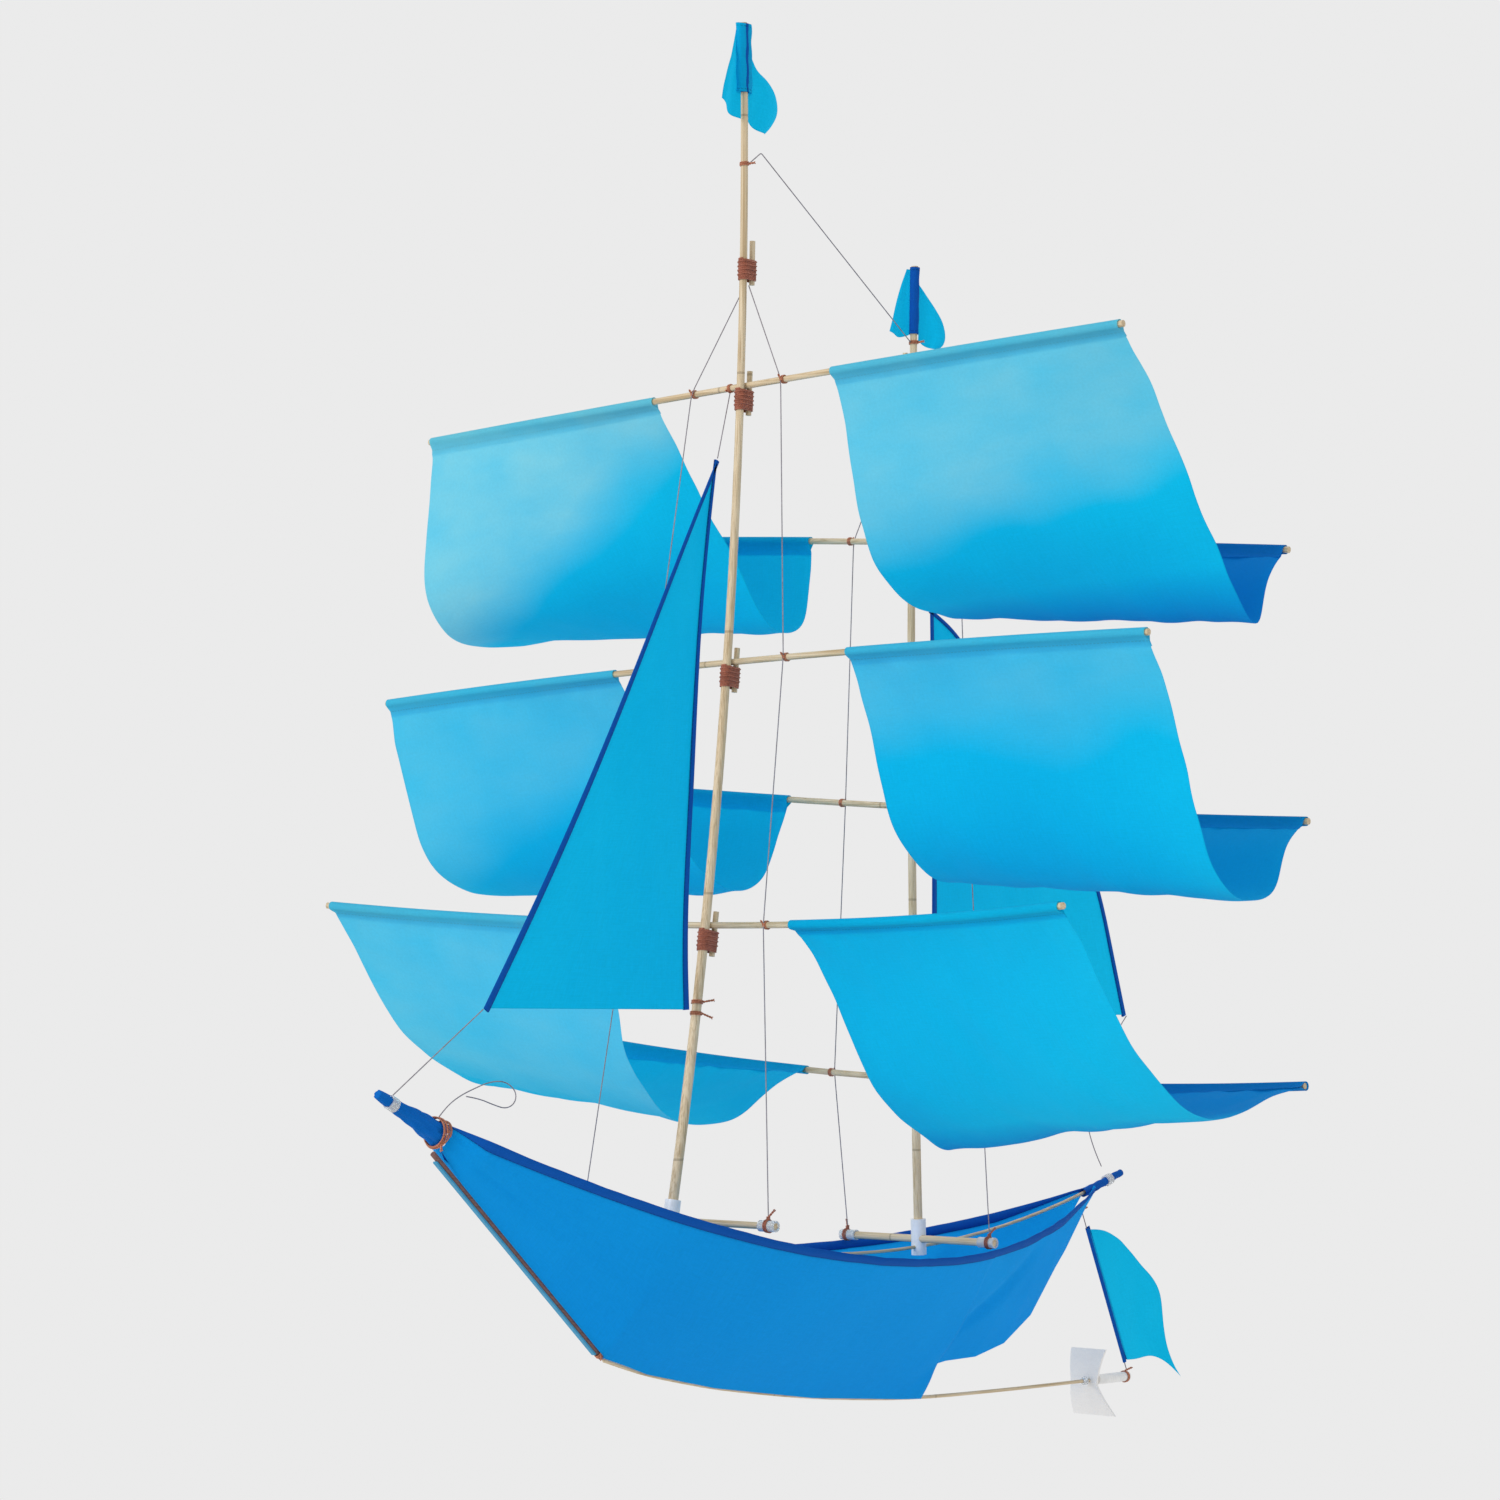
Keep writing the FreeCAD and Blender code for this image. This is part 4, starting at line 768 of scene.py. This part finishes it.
def strip(name, line, inward, width, thick, material, body, taper=0.0):
    """A folded hem along an edge: cloth turned over both faces of the edge, with its stitches."""
    rows = []
    last = len(line) - 1
    section = ((width, 0.25), (width, thick), (0.6, thick), (-0.5, 0.0), (0.6, -thick), (width, -thick),
               (width, -0.25))
    for across, out in section:
        row = []
        for index, point in enumerate(line):
            share = index / last
            narrow = 1 - taper * (1 - share)
            depth = across * narrow if across > 0 else across
            row.append(point + inward[index] * depth + Vector((0, out, 0)))
        rows.append(row)
    return cloth_grid(name, rows, material, body, seams=(1, 5))


def inward_of(line, towards):
    """Directions in the cloth, square to its edge, that point at the cloth's side."""
    result = []
    for index in range(len(line)):
        way = (line[min(index + 1, len(line) - 1)] - line[max(index - 1, 0)]).normalized()
        normal = Vector((-way.z, 0, way.x))
        result.append(normal if normal.dot(towards - line[index]) > 0 else -normal)
    return result


def rippled(rows, seed, height):
    """Soft out-of-plane waves on a cloth that lies in the ship's middle plane, held at its two sides."""
    wide = len(rows[0]) - 1
    out = []
    for row in rows:
        line = []
        for c, point in enumerate(row):
            hold = math.sin(math.pi * (c / wide)) ** 0.7
            wave = wander(point.x / 46, point.z / 120, seed * 3.1)
            fine = wander(point.x / 17, point.z / 60, seed * 5.7) * 0.3
            line.append(point + Y_AXIS * (height * hold * (wave + fine)))
        out.append(line)
    return out


JIB_LUFF = [(47, 591), (31, 470), (22, 330), (17, 190), (19, 152)]
JIB_LEECH = [(47, 591), (21, 545), (-53, 410), (-132, 275), (-212, 153)]
SPANKER_LUFF = [(323, 491), (326, 380), (328, 260), (328, 148)]
SPANKER_LEECH = [(323, 491), (352, 477), (395, 442), (450, 396), (512, 335), (560, 272), (588, 204), (608, 147)]


def stay_sail(name, luff_points, leech_points, luff_left, middle, ripple, luff_hem):
    """A flat sail between its luff and its leech, with a hem along each."""
    luff, leech = [edge_curve(points, 90) for points in (luff_points, leech_points)]
    left, right = (luff, leech) if luff_left else (leech, luff)
    rows = rippled(fill_between(left, right, 44), *ripple)
    sail = cloth_grid(name + "_cloth", rows, JIB_CLOTH,
                      edges=(False, True, False, False))
    width, taper = luff_hem
    hems = [strip(f"{name}_{edge}_hem", line, inward_of(line, middle), wide, 0.7, HEM, "airframe",
                  taper) for edge, line, wide in (("luff", luff, width), ("leech", leech, 5.5))]
    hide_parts(name)


def build_stay_sails():
    stay_sail("jib", JIB_LUFF, JIB_LEECH, False, Vector((-30, 0, 260)), (3, 2.6), (6.5, 0.55))
    stay_sail("spanker", SPANKER_LUFF, SPANKER_LEECH, True, Vector((420, 0, 250)), (8, 3.0),
              (6.0, 0.4))


def turned(point, mast, height, degrees):
    """A point turned about a mast's own axis at a height."""
    foot, up = mast.axis(height), mast.up(height)
    return foot + Matrix.Rotation(math.radians(degrees), 3, up) @ (point - foot)


def mast_sleeve(name, mast, low, high, radius, body, flat, material):
    """Cloth sewn into a tube round a masthead, pressed flat fore and aft of it."""
    rows = []
    for step in range(25):
        height = low + (high - low) * step / 24
        centre, up = mast.axis(height), mast.up(height)
        side = Y_AXIS
        front = side.cross(up)
        ring = []
        for turn in range(29):
            angle = 2 * math.pi * turn / 28
            lobes = 0.05 * math.sin(3 * angle + step * 0.7)
            wobble = radius * (1 + lobes + 0.04 * waver(height + 40 * turn, 4, 1 / 9))
            ring.append(centre + (front * math.cos(angle) * flat + side * math.sin(angle)) * wobble)
        ring[-1] = ring[0].copy()
        rows.append(ring)
    return cloth_grid(name, rows, material, body, seams=(1, 23),
                      edges=(True, True, False, False))


# Each pennant's two flies: points down the outer edge, and the heights of the root's top and foot.
FLIES = {
    ("fore", "left"): ([(67, 944), (61, 926), (50, 902), (44, 883)], 944, 871),
    ("fore", "right"): ([(84, 924), (90, 916), (112, 902), (119, 886), (113, 872), (104, 863)], 924, 870),
    ("rear", "left"): ([(291, 778), (284, 760), (278, 742), (272, 723)], 778, 722),
    ("rear", "right"): ([(303, 766), (313, 755), (323, 742), (330, 722), (326, 714), (322, 712)], 766, 718),
}


def build_pennants():
    for prefix, mast, turn, low, high in (("fore", FORE, 0, 893, 949), ("rear", REAR, -20, 723, 780)):
        body = prefix + "_pennant"
        middle = (low + high) / 2
        # The inner sleeve's dark hem cloth is painted shade: the mast's shadow seen through the sleeve.
        sleeve = mast_sleeve(body + "_sleeve", mast, low, high, mast.radius(low) + 1.1, body, 1.0, HEM)
        if prefix == "fore":
            outer_r = mast.radius(low) + 0.9
            mast_sleeve(body + "_outer_sleeve", mast, low, high, outer_r, body, 2.3, JIB_CLOTH)
        for label, way in (("left", -1), ("right", 1)):
            edge, root_top, root_foot = FLIES[(prefix, label)]
            outer = edge_curve(edge, 34)
            rows = []
            for index, point in enumerate(outer):
                s = index / 33
                root_z = root_top + (root_foot - root_top) * s
                root = mast.axis(root_z) + X_AXIS * way * (mast.radius(low) + 1.4)
                row = []
                for c in range(19):
                    t = c / 18
                    spot = root.lerp(point, t)
                    hang = -3.0 * math.sin(math.pi * t) * s
                    sway = (5.0 * math.sin(t * 5.2 + (1.4 if way > 0 else 0.2)) * t * s
                            + 2.0 * wander(spot.x / 14, spot.z / 20, 3.3) * t)
                    spot = spot + Vector((0, sway, hang))
                    row.append(turned(spot, mast, middle, turn))
                rows.append(row)
            cloth_grid(f"{body}_{label}_fly", rows, JIB_CLOTH, body,
                                     edges=(True, True, False, True))
        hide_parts(body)


STERN_TIE = Vector((543, 0, -25.5))
TAIL_TIE = Vector((611, 0, -168.5))
RUDDER_TOP = [(549, -42), (570, -43), (592, -50), (614, -63)]
RUDDER_LEECH = [(614, -63), (632, -78), (654, -96), (663, -122), (666, -147), (674, -163), (690, -180)]
RUDDER_FOOT = [(612, -160), (631, -160), (650, -159), (662, -162), (676, -170), (690, -180)]


def build_rudder():
    way = (TAIL_TIE - STERN_TIE).normalized()
    luff = [STERN_TIE + way * (17 + 134 * i / 59) for i in range(60)]
    leech = edge_curve(RUDDER_TOP[:3] + RUDDER_LEECH, 60)
    foot = edge_curve(RUDDER_FOOT, 60)
    rows = []
    for index in range(60):
        s = index / 59
        row = []
        for c in range(33):
            t = c / 32
            spot = luff[index].lerp(leech[index], t)
            straight = luff[-1].lerp(leech[-1], t)
            spot = spot + (foot[int(t * 59)] - straight) * s ** 3
            ripple = (4.2 * math.sin(3.4 * t + 1.1 * s) * t * (0.4 + 0.6 * s)
                      + 2.4 * wander(spot.x / 22, spot.z / 34, 6.1) * t)
            row.append(spot + Y_AXIS * ripple)
        rows.append(row)
    flag = cloth_grid("rudder_cloth", rows, JIB_CLOTH, "rudder", edges=(True, True, False, True))
    hem_rows = []
    normal = Vector((way.z, 0, -way.x))
    aft = -normal if normal.x < 0 else normal
    for turn in range(13):
        angle = 2 * math.pi * turn / 12
        across = aft * (1.9 * math.cos(angle) + 0.6) + Y_AXIS * (1.5 * math.sin(angle))
        hem_rows.append([p + across for p in luff])
    hem = cloth_grid("rudder_hem", hem_rows, HEM, "rudder")
    flap = [[p + aft * (1.5 + 3.2 * reach) + Y_AXIS * out for p in luff]
            for reach, out in ((0, 1.3), (0.5, 1.2), (1, 0.9), (1.1, 0.2))]
    turn_in = cloth_grid("rudder_hem_flap", flap, HEM, "rudder", seams=(2,))
    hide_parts("rudder_flag")


# ---------------------------------------------------------------- bow cloth, collars and bindings

BOW_START = -DECK.half + 4
BOW_LENGTH = 56.0
BOW_NOSE = 16.0
STERN_WRAP_LENGTH = 43.0


def around(centre, way, radius, angle):
    side = Y_AXIS
    other = way.cross(side).normalized()
    return centre + (side * math.cos(angle) + other * math.sin(angle)) * radius


def build_bow():
    """Cloth twisted tight round the bow stick and past its tip, its folds running slantwise."""
    way = DECK.tangent(-DECK.half + 30)
    start = DECK.at(BOW_START)
    rows = []
    for step in range(71):
        reach = BOW_LENGTH * step / 56 - BOW_NOSE
        share = max(0.0, reach / BOW_LENGTH)
        radius = 4.6 + 5.0 * share - 1.2 * max(0.0, -reach / BOW_NOSE) ** 2
        if -4 < reach < 5:
            radius = min(radius, 4.2)
        row = []
        for turn in range(41):
            angle = 2 * math.pi * turn / 40
            fold = 1 + 0.09 * math.sin(5 * angle + share * 9) + 0.05 * math.sin(9 * angle - share * 13 + 1)
            row.append(around(start + way * reach, way, radius * fold * 0.95, angle))
        rows.append(row)
    tip = start - way * BOW_NOSE
    closing = [[p.lerp(tip, k) for p in rows[0]] for k in (0.98, 0.7, 0.3)]
    bow = cloth_grid("bow_cloth", closing + rows, BOW_CLOTH)
    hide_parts("bow_wrap")


def build_stern():
    """A strip of cloth wound round the spar's tip, under the clear collar."""
    rows = []
    for step in range(37):
        share = step / 36
        at = DECK.half - (STERN_WRAP_LENGTH + 12) * (1 - share)
        ring = []
        for turn in range(29):
            angle = 2 * math.pi * turn / 28
            radius = 3.9 - 0.9 * share + 0.25 * math.sin(angle + share * 30)
            ring.append(around(DECK.at(at), DECK.tangent(at), radius, angle))
        rows.append(ring)
    tip = DECK.at(DECK.half)
    closing = [[p.lerp(tip, k) for p in rows[-1]] for k in (0.3, 0.7, 0.98)]
    wrap = cloth_grid("stern_cloth", rows + closing, HEM)
    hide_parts("stern_wrap")


def coil(centre, way, radius, pitch, turns, seed=0, flat_peg=None, steps=22):
    """Points of a wound wire or thread; flat_peg (direction, offset, radius) winds it round a peg too."""
    way = way.normalized()
    first = way.orthogonal().normalized() if flat_peg is None else flat_peg[0]
    second = way.cross(first)
    points = []
    total = int(turns * steps)
    for step in range(total + 1):
        angle = 2 * math.pi * step / steps
        lift = way * (pitch * step / steps - pitch * turns / 2)
        if flat_peg is None:
            rough = 1 + 0.03 * math.sin(angle * 0.37 + seed)
            offset = (first * math.cos(angle) + second * math.sin(angle)) * radius * rough
        else:
            direction, reach, peg_r = flat_peg
            cosine, sine = math.cos(angle), math.sin(angle)
            offset = direction * (reach + peg_r * cosine) if cosine > 0 else direction * (radius * cosine)
            width = radius + (peg_r - radius) * max(0.0, min(1.0, (cosine + 0.1) / 0.45))
            offset = offset + second * (width * sine)
            if 0 < cosine <= 0.35:
                offset = direction * (reach * cosine / 0.35 + peg_r * cosine) + second * (width * sine)
        points.append(centre + lift + offset)
    return points


def twisted_tail(start, way, length, seed):
    """The two ends of a tie, twisted together and cut short."""
    way = way.normalized()
    first = way.orthogonal().normalized()
    second = way.cross(first)
    runs = []
    for phase in (0, math.pi):
        run = []
        for step in range(25):
            share = step / 24
            angle = share * length * 1.5 + phase
            droop = Vector((0, 0, -0.04 * length)) * share ** 2 * (1 + 0.5 * math.sin(seed))
            spread = 0.75 + 0.5 * max(0.0, share - 0.8) * 5
            turn = first * math.cos(angle) + second * math.sin(angle)
            run.append(start + way * (length * share) + droop + turn * spread * 0.6)
        runs.append(run)
    return runs


def peg_heights(prefix):
    heights = {"head": HEAD_HEIGHTS[prefix]}
    for level in ("top", "mid", "low"):
        heights[level] = YARD_BENDS[f"{prefix}_{level}"].middle.z - YARD_R - FIT
    return heights


# The lashing's close winding and the turns that cross over it: lift, how far each stands off the mast and
# off the peg, pitch and number of turns.
WINDINGS = ((0.0, 0.65, 0.7, 1.12, 15.6), (1.0, 1.3, 1.3, 3.4, 4.0))


def build_lashings():
    """Rust thread wound round mast and peg under each yard, a couple of turns crossing over the rest."""
    for prefix, mast in MASTS.items():
        runs = []
        for index, (level, top) in enumerate(peg_heights(prefix).items()):
            middle = top - LASHING_HEIGHT / 2
            reach = mast.radius(top) + 2 * YARD_R + CLEAT_R + 2 * FIT
            up = mast.up(middle)
            peg_way = (X_AXIS * mast.peg_side - up * up.dot(X_AXIS * mast.peg_side)).normalized()
            centre = mast.axis(middle)
            for lift, stand, peg_stand, pitch, turns in WINDINGS:
                peg = (peg_way, reach, CLEAT_R + peg_stand)
                runs.append(coil(centre + up * lift, up, mast.radius(middle) + stand, pitch, turns, index, peg,
                                 30))
        obj = tubes(prefix + "_lashing_threads", runs, 0.62, THREAD, "airframe", 6)
        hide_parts(prefix + "_lashings")


SHROUD_TIES = {
    ("fore", "port"): (42, 57, 60, 97), ("fore", "starboard"): (56, 80, 86, 97),
    ("rear", "port"): (51, 62, 70, 76), ("rear", "starboard"): (60, 70, 84, 76),
}
BEAMS = {"fore": (4.0, -13.4), "rear": (310.5, -40.0)}
CAP_R = 4.4
KNOT_R = 1.7
MASTHEAD_TIE_Z = 835.0
REAR_HEAD_TIE_Z = 716.0
JIB_TIE_Y = 16.0
# Wire ties round the masts: mast, height, length of the twisted tail.
MAST_TIES = ((FORE, MASTHEAD_TIE_Z, 5), (REAR, REAR_HEAD_TIE_Z, 5), (FORE, 149.0, 9), (FORE, 158.0, 9),
             (REAR, 497.0, 6), (REAR, 150.0, 8))


def shroud_side(prefix):
    return -1 if prefix == "fore" else 1


def shroud_route(prefix, side_name):
    """The shroud's points in the design: head knot, three yards, knot on the deck beam."""
    side = PORT if side_name == "port" else STARBOARD
    mast = MASTS[prefix]
    head_z = HEAD_HEIGHTS[prefix] - LASHING_HEIGHT - 4
    points = [mast.axis(head_z) + X_AXIS * (mast.peg_side * (mast.radius(head_z) + 1.5)) + Y_AXIS * side * 2.2]
    ties = SHROUD_TIES[(prefix, side_name)]
    stand = YARD_R + 2 * WIRE_R + LINE_D / 2
    for level, distance in zip(("top", "mid", "low"), ties):
        on_yard = YARD_BENDS[f"{prefix}_{level}"].at(side * distance)
        points.append(on_yard + X_AXIS * (shroud_side(prefix) * stand))
    x, z = BEAMS[prefix]
    points.append(Vector((x, side * ties[3], z + CAP_R + 2 * KNOT_R + 2 * FIT)))
    return points


def build_line(name, points, ending="_cord", corner=14.0):
    """The line that stands for a node, one open NURBS spline; a point each side keeps a corner in place."""
    controls = [points[0]]
    for before, here, after in zip(points, points[1:], points[2:]):
        if corner:
            reach = min(corner, 0.4 * (here - before).length, 0.4 * (after - here).length)
            controls += [here + (before - here).normalized() * reach, here,
                         here + (after - here).normalized() * reach]
        else:
            controls.append(here)
    controls.append(points[-1])
    data = bpy.data.curves.new(name + ending, "CURVE")
    data.dimensions = "3D"
    spline = data.splines.new("NURBS")
    spline.points.add(len(controls) - 1)
    for slot_point, point in zip(spline.points, controls):
        slot_point.co = (*part(point), 1.0)
    spline.order_u = 3
    spline.use_endpoint_u = True
    spline.resolution_u = 12
    data.resolution_u = 12
    data.bevel_depth = LINE_D / 2 * MM
    data.bevel_resolution = 3
    data.use_fill_caps = True
    obj = piece(name + ending, data, LINE, "airframe")
    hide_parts(name)


def build_lines():
    for prefix, side_name in SHROUD_TIES:
        build_line(f"{prefix}_shroud_{side_name}", shroud_route(prefix, side_name), "_line")
    fore_top = FORE.axis(MASTHEAD_TIE_Z) + X_AXIS * (FORE.radius(MASTHEAD_TIE_Z) + 1.4)
    rear_top = REAR.axis(REAR_HEAD_TIE_Z) - X_AXIS * (REAR.radius(REAR_HEAD_TIE_Z) + 1.4)
    build_line("masthead_line", [fore_top, HANG, rear_top], corner=4.0)
    halyard_top = YARD_BENDS["fore_top"].at(JIB_TIE_Y) - Z_AXIS * (YARD_R + 1.6) - X_AXIS
    build_line("jib_halyard", [Vector((47.6, 0, 592.6)), halyard_top])
    collar = DECK.at(-DECK.half + 5) + Z_AXIS * 6.2
    build_line("bow_line", [Vector((-212.8, 0, 152.3)), collar])
    clew = [Vector(p) for p in ((609, 0, 146), (574, 0, 113), (551, 0, 76), (550, 0, 42), (572, 0, 13))]
    build_line("clew_line", clew, corner=0)
    loop = [Vector(p) for p in ((-258, 0, 73), (-250, 0.3, 80.5), (-236, 0.7, 88), (-221, 1.1, 93),
                                (-204, 1.3, 98), (-188, 0.6, 98.5), (-177, -0.6, 91), (-178.5, -1.6, 82),
                                (-189, -2.0, 77.5), (-203, -2.0, 81), (-218, -1.7, 85.8),
                                (-231, -1.2, 87.6))]
    build_line("flying_line", loop, corner=0)
    build_line("rudder_line", [STERN_TIE, TAIL_TIE])


def build_wires():
    """Copper ties: a few turns of thin wire, its ends twisted and cut, and the lines' small knots."""
    runs = []
    knots = []
    for index, (prefix, side_name) in enumerate(SHROUD_TIES):
        side = PORT if side_name == "port" else STARBOARD
        for level, distance in zip(("top", "mid", "low"), SHROUD_TIES[(prefix, side_name)]):
            yard = YARD_BENDS[f"{prefix}_{level}"]
            centre, way = yard.at(side * distance), yard.tangent(side * distance)
            runs.append(coil(centre, way, YARD_R + 0.55, 1.05, 3.2, index))
            out = X_AXIS * shroud_side(prefix)
            runs.append(coil(centre + out * (YARD_R + 0.8), Z_AXIS, 1.05, 0.9, 3.0, index, steps=14))
            runs += twisted_tail(centre + out * (YARD_R + 1.3), out * 0.4 + Z_AXIS * 0.8 + way * 0.3, 4.5,
                                 index)
        x, z = BEAMS[prefix]
        y = side * SHROUD_TIES[(prefix, side_name)][3]
        knot = Vector((x, y, z + CAP_R + KNOT_R))
        knots.append(coil(Vector((x, y, z)), Y_AXIS, CAP_R + 0.45, 1.3, 3.0, index))
        knots.append(coil(knot, Z_AXIS, 1.25, 1.1, 3.0, index, steps=14))
        knots += twisted_tail(knot + Z_AXIS * 0.6, Vector((0.5, 0.55 * side, 0.9)), 8.0, index)
    for mast, height, tail in MAST_TIES:
        centre, way = mast.axis(height), mast.up(height)
        runs.append(coil(centre, way, mast.radius(height) + 0.6, 1.1, 3.0, height))
        runs += twisted_tail(centre + Vector((0.5, -0.9, 0)).normalized() * (mast.radius(height) + 1.0),
                             Vector((0.6, -0.6, -0.35 if height < 155 else 0.2)), tail, height)
    stem_way = (STEM_FOOT - STEM_TOP).normalized()
    forefoot = STEM_FOOT - stem_way * 4
    runs.append(coil(forefoot, stem_way, 2.8, 1.1, 3.0))
    runs += twisted_tail(forefoot + Vector((0, -2.8, 0)), Vector((-0.5, -0.5, -0.5)), 6, 1)
    tail_tie = Vector((608.5, 0, KEEL_TAIL_Z))
    runs.append(coil(tail_tie, X_AXIS, 4.8, 1.1, 3.0))
    runs += twisted_tail(tail_tie + Vector((0.5, 0, 5.0)), Vector((0.8, -0.3, 0.35)), 8, 2)
    runs += twisted_tail(STERN_TIE + Vector((0, 0, 0.8)), Vector((0.7, -0.5, 0.5)), 6, 3)
    yard = YARD_BENDS["fore_top"]
    runs.append(coil(yard.at(JIB_TIE_Y), yard.tangent(JIB_TIE_Y), YARD_R + 0.55, 1.05, 3.0, 5))
    runs += twisted_tail(yard.at(JIB_TIE_Y) - Z_AXIS * (YARD_R + 1), Vector((-0.7, 0.5, 0.4)), 5, 4)
    ties = tubes("wire_wraps", runs, 0.5, COPPER, "airframe", 6)
    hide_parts("wire_ties", "shroud_ties")
    tubes("cap_knots", knots, 0.5, THREAD, "airframe", 6)
    way = DECK.tangent(-DECK.half + 30)
    binding_centre = DECK.at(BOW_START) + way * 50.6
    slant = (way + Z_AXIS * 0.30).normalized()
    turns = [coil(binding_centre, slant, 11.0, 1.5, 3.4, 2, steps=32),
             coil(binding_centre + way * 4, (way - Z_AXIS * 0.12).normalized(), 11.4, 1.3, 2.4, 5, steps=32)]
    turns += twisted_tail(binding_centre + Vector((0, -6, -8)), Vector((-0.5, -0.6, -0.6)), 8, 7)
    binding = tubes("bow_binding_wire", turns, 0.55, COPPER, "airframe", 6)
    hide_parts("bow_binding")


# ---------------------------------------------------------------- finishes of the hard parts

def paint(name, material):
    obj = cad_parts[name]
    for slot_item in obj.material_slots:
        slot_item.link = "OBJECT"
        slot_item.material = material
    if not obj.material_slots:
        obj.data.materials.append(material)


def paint_frame():
    finishes = {"foremast": BAMBOO[2], "rear_mast": BAMBOO[2], "deck_spar": BAMBOO[0], "keel_spar": BAMBOO[0],
                "stem_spar": STEM_WOOD, "stem_strip": TAPE, "fore_socket": WHITE_TUBE, "rear_socket": WHITE_TUBE,
                "crossbar_caps": CLEAR_TUBE, "tail_tube": WHITE_TUBE, "bow_collar": CLEAR_TUBE,
                "stern_collar": CLEAR_TUBE, "propeller_bead": CLEAR_TUBE, "propeller": FOAM,
                "fore_crossbar": BAMBOO[1], "rear_crossbar": BAMBOO[1]}
    for prefix in ("fore", "rear"):
        for level in ("top", "mid", "low"):
            finishes[f"{prefix}_yard_{level}"] = BAMBOO[1]
        for level in ("head", "top", "mid", "low"):
            finishes[f"{prefix}_cleat_{level}"] = BAMBOO[2]
    for name, material in finishes.items():
        paint(name, material)


# ---------------------------------------------------------------- studio and camera

BACKDROP = 0.83
AMBIENT = 0.80
# Each lamp: where it shines from, its strength and its spread in degrees.
SUNS = {"front": ((-0.88, 0.12, 0.30), 1.25, 25)}


def build_studio():
    floor_mesh = bpy.data.meshes.new("floor")
    reach, level = 40.0, -1.45
    corners = [(-reach, -reach, level), (reach, -reach, level), (reach, reach, level), (-reach, reach, level)]
    floor_mesh.from_pydata(corners, [], [(0, 1, 2, 3)])
    floor = bpy.data.objects.new("floor", floor_mesh)
    bpy.context.collection.objects.link(floor)
    paper = Finish("studio_floor")
    paper.settle(Base_Color=(0, 0, 0), Roughness=1.0, Specular_IOR_Level=0.0, Emission_Color=WHITE,
                 Emission_Strength=BACKDROP)
    floor_mesh.materials.append(paper.material)
    for ray in ("visible_diffuse", "visible_glossy", "visible_transmission", "visible_shadow"):
        setattr(floor, ray, False)
    world = bpy.data.worlds.new("studio")
    bpy.context.scene.world = world
    world.use_nodes = True
    nodes, links = world.node_tree.nodes, world.node_tree.links
    seen = nodes["Background"]
    seen.inputs["Color"].default_value = (BACKDROP, BACKDROP, BACKDROP, 1)
    lighting = nodes.new("ShaderNodeBackground")
    lighting.inputs["Color"].default_value = (AMBIENT, AMBIENT, AMBIENT, 1)
    mix = nodes.new("ShaderNodeMixShader")
    links.new(nodes.new("ShaderNodeLightPath").outputs["Is Camera Ray"], mix.inputs[0])
    links.new(lighting.outputs[0], mix.inputs[1])
    links.new(seen.outputs[0], mix.inputs[2])
    links.new(mix.outputs[0], nodes["World Output"].inputs["Surface"])
    for name, (place, energy, spread) in SUNS.items():
        sun = bpy.data.lights.new(name, "SUN")
        sun.energy = energy
        sun.angle = math.radians(spread)
        lamp = bpy.data.objects.new(name, sun)
        bpy.context.collection.objects.link(lamp)
        lamp.rotation_euler = Vector(place).to_track_quat("Z", "Y").to_euler()
    bpy.context.scene.view_settings.view_transform = "Standard"


CAMERA_PLACE = (-2.5745, -2.2156, -0.6694)
CAMERA_WAY = (0.755894, 0.652471, 0.053905)
CAMERA_ROLL = 0.47
CAMERA_LENS = 101.2


def build_camera():
    data = bpy.data.cameras.new("camera")
    data.lens = CAMERA_LENS
    data.sensor_width = 36.0
    camera = bpy.data.objects.new("camera", data)
    bpy.context.collection.objects.link(camera)
    turn = Vector(CAMERA_WAY).to_track_quat("-Z", "Y").to_matrix()
    roll = Matrix.Rotation(math.radians(CAMERA_ROLL), 3, "Z")
    camera.matrix_world = Matrix.Translation(CAMERA_PLACE) @ (turn @ roll).to_4x4()
    bpy.context.scene.camera = camera


paint_frame()
build_sails()
build_hull()
build_stay_sails()
build_pennants()
build_rudder()
build_bow()
build_stern()
build_lashings()
build_lines()
build_wires()
build_studio()
build_camera()
